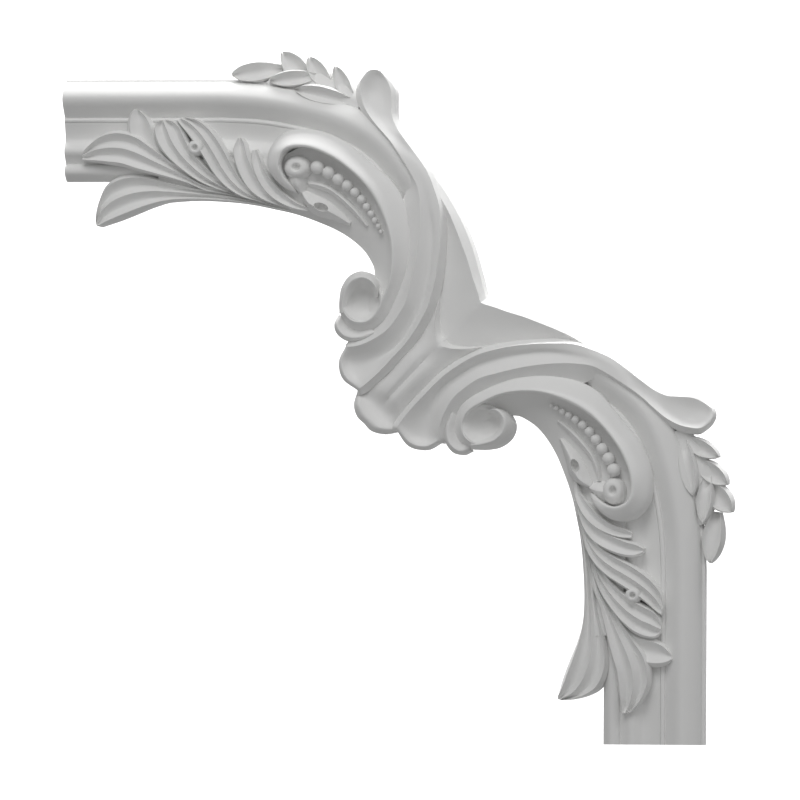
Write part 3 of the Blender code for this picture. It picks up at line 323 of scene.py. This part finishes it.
# Acanthus leaves: one edge, other edge, height of the leaf
LEAF_A = [
    ((-66, 81.5), (-66, 78.8), 9), ((-83.5, 85.2), (-83.5, 82.4), 10.5),
    ((-99.3, 88.6), (-99.3, 84), 11.5), ((-114, 90.6), (-115, 84.6), 12),
    ((-127, 93.6), (-127.5, 83.6), 12.5), ((-138, 96.6), (-136.5, 81), 13),
    ((-147, 97.4), (-143, 78.4), 13.2), ((-154, 95.8), (-149.5, 75.8), 13),
    ((-159.6, 92), (-155, 73.8), 12.4), ((-163, 85.5), (-160, 72.2), 11.6),
    ((-164.8, 77.5), (-163, 71.3), 10.8), ((-165, 73.4), (-164.6, 71.6), 9.8),
]
LEAF_B = [
    ((-87.5, 88.5), (-87.5, 85), 10.5), ((-100.2, 91.4), (-99.6, 87.4), 12),
    ((-111, 95), (-109, 89), 13), ((-119.8, 100.2), (-117, 92.4), 14),
    ((-128.5, 106.2), (-126, 94.8), 15.5), ((-135.5, 111.6), (-134.5, 96.8), 16.5),
    ((-142.5, 116.8), (-143, 98.8), 17), ((-150, 119.2), (-150.5, 101.1), 16.8),
    ((-157.5, 118.8), (-158, 102.2), 16.2), ((-164, 115.6), (-164.5, 103.2), 15.4),
    ((-168.8, 111.4), (-169, 103.9), 14.4), ((-171.3, 108.4), (-171.3, 104.6), 13.4),
]
LEAF_C = [
    ((-138, 105.5), (-127, 105.5), 12), ((-143.8, 111.5), (-131.5, 110.8), 14),
    ((-148, 117.8), (-133, 116.8), 15.5), ((-148.3, 123.5), (-134.5, 121.8), 16),
    ((-147, 127.6), (-137.5, 126), 15.8), ((-144.8, 130), (-141.5, 129), 15),
]
LEAF_D = [
    ((-81.5, 84.3), (-77.5, 84), 10.5), ((-93.2, 87), (-87.2, 88.3), 12),
    ((-103, 89.8), (-96.5, 92.6), 13.5), ((-112, 93.6), (-104, 98), 15),
    ((-120, 99), (-110, 104), 16.5), ((-127, 105), (-114.5, 110.4), 17.5),
    ((-132, 111.3), (-117.6, 116.6), 18), ((-134.3, 117.6), (-120, 121), 17.6),
    ((-134, 121.6), (-123.5, 123.6), 17), ((-131.5, 124), (-127.5, 124.6), 16),
]
LEAF_E = [
    ((-73.5, 81.4), (-69.6, 82), 10.5), ((-82.1, 83.7), (-77.2, 85.3), 12.5),
    ((-90.1, 86), (-83.4, 89.2), 14.5), ((-97.4, 90.4), (-89, 94.6), 16),
    ((-103.6, 96.8), (-93.2, 101.4), 17), ((-108.2, 104), (-96.6, 108.2), 18),
    ((-112.6, 111), (-100.6, 114.8), 18.5), ((-117, 117), (-106, 121), 18),
    ((-121, 121.6), (-111.5, 124.6), 17.4), ((-122.6, 124.4), (-117.5, 125.8), 16.4),
]
LEAF_F = [
    ((-65.6, 80), (-61.6, 80.8), 10.5), ((-74.1, 82.3), (-69.1, 84.7), 13),
    ((-81.2, 85.2), (-75.7, 89.2), 15), ((-87, 90.2), (-80, 95.2), 16.5),
    ((-91, 97.2), (-83, 101.4), 17.5), ((-93.4, 104.4), (-85.4, 107.4), 17.8),
    ((-93.8, 110.6), (-87, 112.2), 17), ((-91.6, 115), (-89.4, 115.4), 15.6),
]
LEAF_G = [
    ((-57.6, 78.8), (-54.6, 80.2), 10), ((-65.1, 80.3), (-61.7, 83.3), 13),
    ((-72.7, 83.8), (-67.7, 88.2), 15), ((-78.6, 89.4), (-72.6, 93.2), 16.5),
    ((-82.5, 96.4), (-76.8, 99.4), 17), ((-84.6, 103.4), (-79, 105), 16.6),
    ((-84.4, 109), (-81.4, 109.6), 15.4),
]
LEAVES = [LEAF_A, LEAF_B, LEAF_C, LEAF_D, LEAF_E, LEAF_F, LEAF_G]
# Across a leaf: share of its width, drop below its crest height and which
# points are sharp; one kind has a middle vein and the other one hollow
VEINED_LEAF = (0, 0.09, 0.3, 0.5, 0.71, 0.91, 1), (3.6, 0.2, 3.6, 0.4, 3.4, 0.4, 4.6), (1, 3, 5)
PLAIN_LEAF = (0, 0.14, 0.5, 0.86, 1), (3.6, 0.2, 3, 0.6, 4.4), (1, 3)

# Laurel on the outer edge: base, tip, width and height of each leaf
LAUREL = [
    ((-71, 150.5), (-96.5, 147.4), 11, 10), ((-56.4, 144.6), (-70.9, 158.5), 12, 9.5),
    ((-46, 140.2), (-57.1, 156.2), 10.5, 10), ((-34.8, 133.6), (-43.5, 151.6), 9, 10.5),
    ((-53, 146.5), (-76.4, 144.2), 8.8, 12.8), ((-35.5, 134), (-63, 139.9), 9.5, 15),
]
LAUREL_ACROSS = (0, 0.1, 0.45, 0.75, 0.92, 1)
LAUREL_STALK = [
    ((-78.5, 140.5, 8), (-77.5, 143.5, 8.6), (-76.5, 146.5, 7)),
    ((-60, 138, 9), (-58.5, 143.5, 9), (-58, 149, 6.5)),
    ((-44, 132.5, 9.5), (-42, 139.5, 9), (-41.5, 144.5, 6.5)),
    ((-32.5, 125.5, 10), (-30.5, 132.5, 9.5), (-30.5, 136.5, 7)),
]


def spline(keys, steps, breaks=()):
    """Points along a smooth curve through the keys, `steps` to a span.

    The curve may turn sharply at the keys numbered in `breaks`.
    """
    keys = np.asarray(keys, dtype=float)
    last = len(keys) - 1
    out = [keys[0]]
    for i in range(last):
        start, end = keys[i], keys[i + 1]
        before = 2 * start - end if i == 0 or i in breaks else keys[i - 1]
        after = 2 * end - start if i + 1 == last or i + 1 in breaks else keys[i + 2]
        gap = math.sqrt(max(np.linalg.norm(end - start), 1e-6))
        gap_before = math.sqrt(max(np.linalg.norm(start - before), 1e-6))
        gap_after = math.sqrt(max(np.linalg.norm(after - end), 1e-6))
        run = (end - start) / gap
        pull_start = (start - before) / gap_before - (end - before) / (gap_before + gap) + run
        pull_end = run - (after - start) / (gap + gap_after) + (after - end) / gap_after
        for k in range(1, steps + 1):
            t = k / steps
            out.append(
                (2 * t**3 - 3 * t**2 + 1) * start
                + (t**3 - 2 * t**2 + t) * gap * pull_start
                + (3 * t**2 - 2 * t**3) * end
                + (t**3 - t**2) * gap * pull_end
            )
    return np.array(out)


def net(sections, along, across, breaks=()):
    """Grid of points through a table of sections, smooth both ways."""
    table = np.array(sections, dtype=float)
    lines = [spline(table[:, j], along) for j in range(table.shape[1])]
    rows = np.stack(lines, axis=1)
    return np.array([spline(row, across, breaks) for row in rows])


def between(table, shares):
    """Sections from rows of two edges and the heights between them."""
    sections = []
    for first, second, heights in table:
        first = np.array(first, dtype=float)
        second = np.array(second, dtype=float)
        sections.append([
            (*(first + (second - first) * share), height)
            for share, height in zip(shares, heights)
        ])
    return sections


def leaf_table(table, drops):
    """Rows of edges and heights for a leaf that fades in at its foot."""
    rows = []
    last = len(table) - 1
    for i, (first, second, height) in enumerate(table):
        fade = min(1.0, 0.35 + 1.6 * i / last) if i < last else 0.4
        rows.append((first, second, [height - drop * fade for drop in drops]))
    return rows


def laurel_table(base, tip, width, height):
    """Rows of edges and heights for a short hollow leaf with a pointed tip."""
    base = np.array(base, dtype=float)
    tip = np.array(tip, dtype=float)
    along = tip - base
    side = np.array([-along[1], along[0]]) / np.linalg.norm(along)
    rows = []
    for share, spread, fall in (
        (0, 0.45, 5), (0.3, 0.9, 0.8), (0.56, 1, 0), (0.8, 0.74, 0.2), (0.93, 0.38, 0.9), (1, 0.06, 2.6),
    ):
        middle = base + along * share
        reach = side * width * spread / 2
        top = height - fall
        rows.append((middle - reach, middle + reach, (top - 3, top, top - 3.4, top - 2.8, top, top - 3)))
    return rows


def linear(hex_colour):
    """sRGB hex to the linear colour that a shader reads."""
    out = []
    for i in (0, 2, 4):
        level = int(hex_colour[i:i + 2], 16) / 255
        out.append(level / 12.92 if level <= 0.04045 else ((level + 0.055) / 1.055) ** 2.4)
    return (*out, 1.0)


def node(tree, kind, inputs=None, **settings):
    """Add a node: its settings, then a value or another socket for each input."""
    made = tree.nodes.new(kind)
    for name, value in settings.items():
        setattr(made, name, value)
    for key, value in (inputs or {}).items():
        if isinstance(value, bpy.types.NodeSocket):
            tree.links.new(value, made.inputs[key])
        else:
            made.inputs[key].default_value = value
    return made


def primed_foam():
    """Moulded rigid foam with a sprayed water-borne primer.

    The primer dries dead matt and evens the colour, so the eye gets a chalky
    white with a faint mottle, a fine spray grain and a few pinholes.
    """
    material = bpy.data.materials.new("primed_moulded_foam")
    material.use_nodes = True
    tree = material.node_tree
    shader = tree.nodes["Principled BSDF"]
    place = node(tree, "ShaderNodeTexCoord").outputs["Object"]
    # Clouding of the primer coat, about 40 mm across
    cloud = node(
        tree, "ShaderNodeTexNoise",
        {"Vector": place, "Scale": 25.0, "Detail": 4.0, "Roughness": 0.55},
    )
    tone = node(
        tree, "ShaderNodeMix",
        {0: cloud.outputs["Fac"], 6: linear("EDEDEC"), 7: linear("F3F3F2")},
        data_type="RGBA",
    )
    roughness = node(
        tree, "ShaderNodeMapRange",
        {"Value": cloud.outputs["Fac"], "To Min": 0.56, "To Max": 0.7},
    )
    # Slight waviness of the moulded skin, about 6 mm
    skin = node(
        tree, "ShaderNodeTexNoise",
        {"Vector": place, "Scale": 160.0, "Detail": 3.0, "Roughness": 0.5},
    )
    # Spray grain, drawn at 0.9 mm so that it shows
    grain = node(
        tree, "ShaderNodeTexNoise",
        {"Vector": place, "Scale": 1100.0, "Detail": 2.0, "Roughness": 0.6},
    )
    # Pinholes about 0.4 mm wide, some 6 mm apart
    pores = node(
        tree, "ShaderNodeTexVoronoi",
        {"Vector": place, "Scale": 170.0, "Randomness": 1.0},
        feature="F1",
    )
    pit = node(
        tree, "ShaderNodeMapRange",
        {
            "Value": pores.outputs["Distance"],
            "From Min": 0.03, "From Max": 0.07, "To Min": -1.0, "To Max": 0.0,
        },
    )
    coarse = node(
        tree, "ShaderNodeBump",
        {"Height": skin.outputs["Fac"], "Strength": 0.25, "Distance": 0.0004},
    )
    fine = node(
        tree, "ShaderNodeBump",
        {
            "Height": grain.outputs["Fac"], "Normal": coarse.outputs[0],
            "Strength": 0.18, "Distance": 0.0001,
        },
    )
    pitted = node(
        tree, "ShaderNodeBump",
        {"Height": pit.outputs[0], "Normal": fine.outputs[0], "Strength": 0.3, "Distance": 0.0001},
    )
    tree.links.new(tone.outputs[2], shader.inputs["Base Color"])
    tree.links.new(roughness.outputs[0], shader.inputs["Roughness"])
    tree.links.new(pitted.outputs[0], shader.inputs["Normal"])
    shader.inputs["IOR"].default_value = 1.45
    shader.inputs["Specular IOR Level"].default_value = 0.35
    return material


def new_object(name, data):
    """Link data to the scene as an object."""
    item = bpy.data.objects.new(name, data)
    bpy.context.scene.collection.objects.link(item)
    return item


def mesh_object(name, mesh):
    """Object from a bmesh whose faces are turned outwards."""
    bmesh.ops.triangulate(mesh, faces=mesh.faces)
    bmesh.ops.recalc_face_normals(mesh, faces=mesh.faces)
    if mesh.calc_volume(signed=True) < 0:
        bmesh.ops.reverse_faces(mesh, faces=mesh.faces)
    data = bpy.data.meshes.new(name)
    mesh.to_mesh(data)
    mesh.free()
    return new_object(name, data)


def relief(name, grid, foot):
    """Closed solid under a grid of points, sides straight down behind the wall."""
    count, width = grid.shape[:2]
    mesh = bmesh.new()
    front = []
    back = []
    for row in grid:
        front.append([mesh.verts.new((x * MM, -h * MM, z * MM)) for x, z, h in row])
        back.append([mesh.verts.new((x * MM, foot, z * MM)) for x, z, h in row])
    for i in range(count - 1):
        for j in range(width - 1):
            for sheet in (front, back):
                mesh.faces.new((sheet[i][j], sheet[i + 1][j], sheet[i + 1][j + 1], sheet[i][j + 1]))
        for j in (0, width - 1):
            mesh.faces.new((front[i][j], front[i + 1][j], back[i + 1][j], back[i][j]))
    for j in range(width - 1):
        for i in (0, count - 1):
            mesh.faces.new((front[i][j], front[i][j + 1], back[i][j + 1], back[i][j]))
    return mesh_object(name, mesh)


def turned(name, place, profile, stretch, lean=0.0, tilt=(0, 0)):
    """Round solid spun from a smooth profile of radius and height.

    `lean` turns it on the wall, and `tilt` is how much higher it gets for
    each metre across and up the wall.
    """
    mesh = bmesh.new()
    line = spline(profile, 4, range(3))
    verts = [mesh.verts.new((max(radius, 0), -height, 0)) for radius, height in line]
    edges = [mesh.edges.new(pair) for pair in zip(verts, verts[1:])]
    bmesh.ops.spin(
        mesh, geom=verts + edges, cent=(0, 0, 0), axis=(0, 1, 0), dvec=(0, 0, 0),
        angle=2 * math.pi, steps=ROUND_STEPS, use_merge=True, use_duplicate=False,
    )
    bmesh.ops.remove_doubles(mesh, verts=mesh.verts, dist=WELD)
    shape = Matrix.Diagonal((stretch[0], 1, stretch[1], 1))
    where = Matrix.Translation((place[0] * MM, 0, place[1] * MM))
    shear = Matrix(((1, 0, 0, 0), (-tilt[0], 1, -tilt[1], 0), (0, 0, 1, 0), (0, 0, 0, 1)))
    mesh.transform(where @ shear @ Matrix.Rotation(lean, 4, "Y") @ shape)
    return mesh_object(name, mesh)


def smooth_profile(points):
    """Profile rounded between its corners, in metres."""
    corners = [i for i in range(1, len(points) - 1) if turn(points, i) > CORNER_TURN]
    rounded = spline(points, PROFILE_STEPS, corners)
    return [(across * MM, height * MM) for across, height in rounded]


def turn(points, i):
    """Angle by which a line of points turns at point `i`."""
    before = math.atan2(points[i][1] - points[i - 1][1], points[i][0] - points[i - 1][0])
    after = math.atan2(points[i + 1][1] - points[i][1], points[i + 1][0] - points[i][0])
    return abs(after - before)


def curve_object(name, points, cyclic=False):
    """Flat poly curve through points given in its own plane."""
    data = bpy.data.curves.new(name, "CURVE")
    data.dimensions = "3D"
    line = data.splines.new("POLY")
    line.points.add(len(points) - 1)
    for point, co in zip(line.points, points):
        point.co = (*co, 1)
    line.use_cyclic_u = cyclic
    return new_object(name, data)


def geometry_tree(name, sizes):
    """Empty Geometry Nodes tree with a geometry input and named sizes."""
    tree = bpy.data.node_groups.new(name, "GeometryNodeTree")
    tree.interface.new_socket("Geometry", in_out="INPUT", socket_type="NodeSocketGeometry")
    for label, kind in sizes:
        tree.interface.new_socket(label, in_out="INPUT", socket_type=kind)
    tree.interface.new_socket("Geometry", in_out="OUTPUT", socket_type="NodeSocketGeometry")
    return tree


def finish_tree(tree, shape, material):
    """Realise, give the material and send to the output."""
    real = node(tree, "GeometryNodeRealizeInstances", {"Geometry": shape})
    made = node(tree, "GeometryNodeSetMaterial", {"Geometry": real.outputs[0], "Material": material})
    node(tree, "NodeGroupOutput", {"Geometry": made.outputs[0]})


def grown(item, tree, values):
    """The plain mesh object that the tree makes from `item`, set in its place."""
    modifier = item.modifiers.new(tree.name, "NODES")
    modifier.node_group = tree
    for socket in tree.interface.items_tree:
        if socket.in_out == "INPUT" and socket.name in values:
            modifier[socket.identifier] = values[socket.name]
    bpy.context.view_layer.update()
    graph = bpy.context.evaluated_depsgraph_get()
    data = bpy.data.meshes.new_from_object(item.evaluated_get(graph), depsgraph=graph)
    mesh = bmesh.new()
    mesh.from_mesh(data)
    bmesh.ops.remove_doubles(mesh, verts=mesh.verts, dist=WELD)
    made = mesh_object(item.name + " mesh", mesh)
    bpy.data.objects.remove(item)
    return made


def moulding_tree(material):
    """Carries a profile along a path and closes its ends."""
    tree = geometry_tree("moulding run", [("Profile", "NodeSocketObject")])
    given = node(tree, "NodeGroupInput")
    profile = node(tree, "GeometryNodeObjectInfo", {"Object": given.outputs["Profile"]})
    upright = node(tree, "GeometryNodeSetCurveNormal", {"Curve": given.outputs["Geometry"]}, mode="Z_UP")
    solid = node(
        tree, "GeometryNodeCurveToMesh",
        {
            "Curve": upright.outputs[0], "Profile Curve": profile.outputs["Geometry"],
            "Fill Caps": True,
        },
    )
    finish_tree(tree, solid.outputs[0], material)
    return tree


def bead_tree(material):
    """Beads along a path, shrinking and closing up from its start to its end."""
    sizes = [
        ("Count", "NodeSocketInt"), ("Large", "NodeSocketFloat"), ("Small", "NodeSocketFloat"),
        ("Top large", "NodeSocketFloat"), ("Top small", "NodeSocketFloat"),
        ("Crowding", "NodeSocketFloat"),
    ]
    tree = geometry_tree("bead row", sizes)
    given = node(tree, "NodeGroupInput").outputs
    points = node(tree, "GeometryNodePoints", {"Count": given["Count"]})
    index = node(tree, "GeometryNodeInputIndex")
    last = node(tree, "ShaderNodeMath", {0: given["Count"], 1: 1.0}, operation="SUBTRACT")
    share = node(tree, "ShaderNodeMath", {0: index.outputs[0], 1: last.outputs[0]}, operation="DIVIDE")
    left = node(tree, "ShaderNodeMath", {0: 1.0, 1: share.outputs[0]}, operation="SUBTRACT")
    bulge = node(tree, "ShaderNodeMath", {0: share.outputs[0], 1: left.outputs[0]}, operation="MULTIPLY")
    run = node(
        tree, "ShaderNodeMath",
        {0: bulge.outputs[0], 1: given["Crowding"], 2: share.outputs[0]}, operation="MULTIPLY_ADD",
    )
    where = node(
        tree, "GeometryNodeSampleCurve",
        {"Curves": given["Geometry"], "Factor": run.outputs[0]}, mode="FACTOR", use_all_curves=True,
    )
    width = node(
        tree, "ShaderNodeMapRange",
        {"Value": share.outputs[0], "To Min": given["Large"], "To Max": given["Small"]},
    )
    top = node(
        tree, "ShaderNodeMapRange",
        {"Value": share.outputs[0], "To Min": given["Top large"], "To Max": given["Top small"]},
    )
    half = node(tree, "ShaderNodeMath", {0: width.outputs[0], 1: 0.5}, operation="MULTIPLY")
    centre = node(tree, "ShaderNodeMath", {0: half.outputs[0], 1: top.outputs[0]}, operation="SUBTRACT")
    offset = node(tree, "ShaderNodeCombineXYZ", {"Y": centre.outputs[0]})
    placed = node(
        tree, "GeometryNodeSetPosition",
        {
            "Geometry": points.outputs[0], "Position": where.outputs["Position"],
            "Offset": offset.outputs[0],
        },
    )
    ball = node(tree, "GeometryNodeMeshUVSphere", {"Segments": 24, "Rings": 16, "Radius": 0.5})
    post = node(
        tree, "GeometryNodeMeshCylinder", {"Vertices": 24, "Radius": 0.47, "Depth": 2.6},
    )
    stem = node(
        tree, "GeometryNodeTransform",
        {"Geometry": post.outputs["Mesh"], "Translation": (0, 1.3, 0), "Rotation": (math.pi / 2, 0, 0)},
    )
    pair = node(tree, "GeometryNodeJoinGeometry")
    tree.links.new(ball.outputs["Mesh"], pair.inputs[0])
    tree.links.new(stem.outputs[0], pair.inputs[0])
    row = node(
        tree, "GeometryNodeInstanceOnPoints",
        {"Points": placed.outputs[0], "Instance": pair.outputs[0], "Scale": width.outputs[0]},
    )
    finish_tree(tree, row.outputs[0], material)
    return tree


def moulding(material):
    """Outer members from the sawn end to the stem, inner ones to the scroll."""
    curve = spline(EDGE_PATH, PATH_STEPS) * MM
    drop = ARM_OUTER - curve[0][1]
    path = [(x, z + drop * max(0, -x) / -curve[0][0]) for x, z in curve]
    tree = moulding_tree(material)
    items = []
    start = -LOWER_REACH - SAW_MARGIN
    runs = (
        ("outer members", OUTER_PROFILE, start, 10, 0.003),
        ("inner members", INNER_PROFILE, start - 0.001, 6, 0.0034),
    )
    for name, profile, first, sections, foot in runs:
        track = [(first, ARM_OUTER)] + path[:sections * PATH_STEPS + 1]
        front = smooth_profile(profile)
        corners = [(front[0][0], -foot)] + front + [(front[-1][0], -foot)]
        outline = curve_object(name + " profile", [(a, -b, 0) for a, b in corners], True)
        line = curve_object(name, [(x, z, 0) for x, z in track])
        made = grown(line, tree, {"Profile": outline})
        made.data.transform(Matrix.Rotation(math.radians(90), 4, "X"))
        bpy.data.objects.remove(outline)
        items.append(made)
    return items


def carving():
    """Every carved element of one half, as separate closed solids."""
    items = []
    nets = [
        ("plate", PLATE, ()),
        ("scroll", between(SCROLL, SCROLL_ACROSS), ()),
        ("arch floor", between(ARCH, ARCH_ACROSS), ()),
        ("stem and fan", FAN, (1, 4)),
        ("hub rim", RIM, (3,)),
        ("hub middle", MIDDLE, (3,)),
        ("first lobe", FIRST_LOBE, ()),
        ("volute roll", VOLUTE_ROLL, ()),
        ("teardrop", TEARDROP, ()),
        ("bead seat", BEAD_SEAT, ()),
        ("eye stalk", EYE_STALK, ()),
        ("laurel stalk", LAUREL_STALK, ()),
    ]
    for i, table in enumerate(LEAVES):
        across, drop, breaks = PLAIN_LEAF if table in (LEAF_C, LEAF_F, LEAF_G) else VEINED_LEAF
        nets.append((f"leaf {i + 1}", between(leaf_table(table, drop), across), breaks))
    for i, (base, tip, width, height) in enumerate(LAUREL):
        sections = between(laurel_table(base, tip, width, height), LAUREL_ACROSS)
        nets.append((f"laurel leaf {i + 1}", sections, (1, 4)))
    for i, (name, sections, breaks) in enumerate(nets):
        grid = net(sections, ALONG_STEPS, ACROSS_STEPS, breaks)
        items.append(relief(name, grid, FOOT + 0.00013 * i))
    return items


def round_parts(material):
    """Bead row, scroll eye, drilled knob and volute dish."""
    path = [(x * MM, 0, z * MM) for x, z in spline(BEAD_PATH, 8)]
    sizes = {
        "Count": BEAD_COUNT, "Large": BEAD_LARGE, "Small": BEAD_SMALL,
        "Top large": BEAD_TOP_LARGE, "Top small": BEAD_TOP_SMALL, "Crowding": BEAD_CROWDING,
    }
    items = [grown(curve_object("bead row", path), bead_tree(material), sizes)]

    for name, place, width, top, hole, stretch in (
        ("scroll eye", EYE_PLACE, EYE_WIDTH, EYE_HEIGHT, EYE_HOLE, (1.05, 0.9)),
        ("leaf knob", KNOB_PLACE, KNOB_WIDTH, KNOB_HEIGHT, KNOB_HOLE, (1, 1)),
    ):
        ring = width / 2
        lip = hole / 2
        profile = [
            (0, -FOOT), (ring, -FOOT), (ring, top - 0.45 * width), (0.86 * ring, top - 0.19 * width),
            ((ring + lip) / 2, top - 0.04 * width), (1.2 * lip, top), (0.9 * lip, top - 0.0008),
            (0.6 * lip, top - 0.0028), (0, top - 0.003),
        ]
        items.append(turned(name, place, profile, stretch))

    rim = VOLUTE_RIM
    hollow = VOLUTE_HOLLOW
    profile = [
        (0, -FOOT), (1, -FOOT), (1, rim - 0.003), (0.97, rim - 0.0008), (0.9, rim),
        (0.8, rim - 0.001), (0.6, hollow + 0.0016), (0.3, hollow), (0, hollow),
    ]
    stretch = (VOLUTE_WIDTH / 2, VOLUTE_LENGTH / 2)
    items.append(turned("volute dish", VOLUTE_PLACE, profile, stretch, tilt=VOLUTE_TILT))
    return items


def drill():
    """Oval cutter for the hole in the drilled leaf."""
    profile = [
        (0, DRILL_FLOOR), (0.6, DRILL_FLOOR + 0.0006), (0.95, DRILL_FLOOR + 0.003),
        (1.05, 0.03), (0, 0.03),
    ]
    stretch = (DRILL_LENGTH / 2, DRILL_WIDTH / 2)
    return turned("leaf drill", DRILL_PLACE, profile, stretch, DRILL_LEAN)


def block(centre):
    """Metre cube that cuts the casting flat on one side."""
    mesh = bmesh.new()
    bmesh.ops.create_cube(mesh, size=1.0)
    mesh.transform(Matrix.Translation(centre))
    return mesh_object("cutter", mesh)


def join(item, tool, operation):
    """Boolean modifier that adds or cuts with another object."""
    made = item.modifiers.new("join", "BOOLEAN")
    made.operation = operation
    made.solver = "MANIFOLD"
    made.object = tool


def casting(material):
    """All the elements joined, cut flat at the back, mirrored and sawn to length."""
    pieces = moulding(material) + carving() + round_parts(material)
    whole = pieces[0]
    cuts = [drill(), block((0, 0.5, 0)), block((-LOWER_REACH - 0.5, 0, 0))]
    for tool in pieces[1:]:
        join(whole, tool, "UNION")
    for tool in cuts:
        join(whole, tool, "DIFFERENCE")
    plane = new_object("mirror plane", None)
    plane.rotation_euler = (0, math.radians(45), 0)
    mirror = whole.modifiers.new("other half", "MIRROR")
    mirror.mirror_object = plane
    mirror.use_axis = (True, False, False)
    mirror.use_bisect_axis = (True, False, False)
    mirror.use_bisect_flip_axis = (True, False, False)
    mirror.merge_threshold = 0.00001
    bpy.context.view_layer.update()
    graph = bpy.context.evaluated_depsgraph_get()
    data = bpy.data.meshes.new_from_object(whole.evaluated_get(graph), depsgraph=graph)
    for item in pieces + cuts + [plane]:
        bpy.data.objects.remove(item)
    # The left arm is shorter: its end face moves in along the plain moulding
    for vert in data.vertices:
        if vert.co.x < -LOWER_REACH + 0.001:
            vert.co.x = -LEFT_REACH
    data.name = "carved_casting"
    data.materials.clear()
    data.materials.append(material)
    data.shade_smooth()
    data.set_sharp_from_angle(angle=CREASE_ANGLE)
    return new_object("carved_casting", data)


def stage(material):
    """Pale floor and backdrop well behind the piece."""
    for name, size, place, upright in (
        ("floor", 4, (0, 0, -1.1), 0),
        ("backdrop", 8, (0, 2.0, 1.0), 90),
    ):
        mesh = bmesh.new()
        bmesh.ops.create_grid(mesh, x_segments=1, y_segments=1, size=size / 2)
        mesh.transform(Matrix.Translation(place) @ Matrix.Rotation(math.radians(upright), 4, "X"))
        data = bpy.data.meshes.new(name)
        mesh.to_mesh(data)
        mesh.free()
        data.materials.append(material)
        item = new_object(name, data)
        item.visible_diffuse = False


def area_light(name, place, aim, size, power):
    """Soft square light aimed at a point."""
    data = bpy.data.lights.new(name, "AREA")
    data.size = size
    data.energy = power
    item = new_object(name, data)
    item.location = place
    item.rotation_euler = (Vector(aim) - Vector(place)).to_track_quat("-Z", "Y").to_euler()


primer = primed_foam()
carved = casting(primer)
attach(carved, "root")
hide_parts("corner_casting")

paper = bpy.data.materials.new("white_paper_sweep")
paper.use_nodes = True
paper.node_tree.nodes["Principled BSDF"].inputs["Base Color"].default_value = linear("FAFAFA")
paper.node_tree.nodes["Principled BSDF"].inputs["Roughness"].default_value = 0.9
stage(paper)

world = bpy.data.worlds.new("studio")
bpy.context.scene.world = world
world.use_nodes = True
world.node_tree.nodes["Background"].inputs["Color"].default_value = linear("FFFFFF")
world.node_tree.nodes["Background"].inputs["Strength"].default_value = 0.29
# Name, place, aim, width in metres and watts
for softbox in (
    ("front softbox", (0, -1.25, 1.25), (0, 0, 0), 0.9, 10),
    ("right softbox", (1.2, -0.9, 1.2), (0, 0, 0), 0.9, 2.5),
    ("backdrop wash", (0, 0.6, 1.5), (0, 2.0, 0.2), 1.5, 90),
):
    area_light(*softbox)

YAW = math.radians(10.5)
PITCH = math.radians(-1.5)
ROLL = math.radians(0.33)
DISTANCE = 6.0
VIEW_WIDTH = 0.4
# The wall origin lies a little right of and above the middle of the picture
PICTURE_MIDDLE = Vector((-0.01075, -0.0154, 0))
away = Vector((math.sin(YAW) * math.cos(PITCH), -math.cos(YAW) * math.cos(PITCH), math.sin(PITCH)))
facing = away.to_track_quat("Z", "Y") @ Matrix.Rotation(ROLL, 3, "Z").to_quaternion()
lens = bpy.data.cameras.new("camera")
lens.sensor_width = 36
lens.lens = 36 * DISTANCE / VIEW_WIDTH
lens.clip_end = 20
camera = new_object("camera", lens)
camera.rotation_euler = facing.to_euler()
camera.location = away * DISTANCE + facing @ PICTURE_MIDDLE
bpy.context.scene.camera = camera
bpy.context.scene.view_settings.view_transform = "Standard"
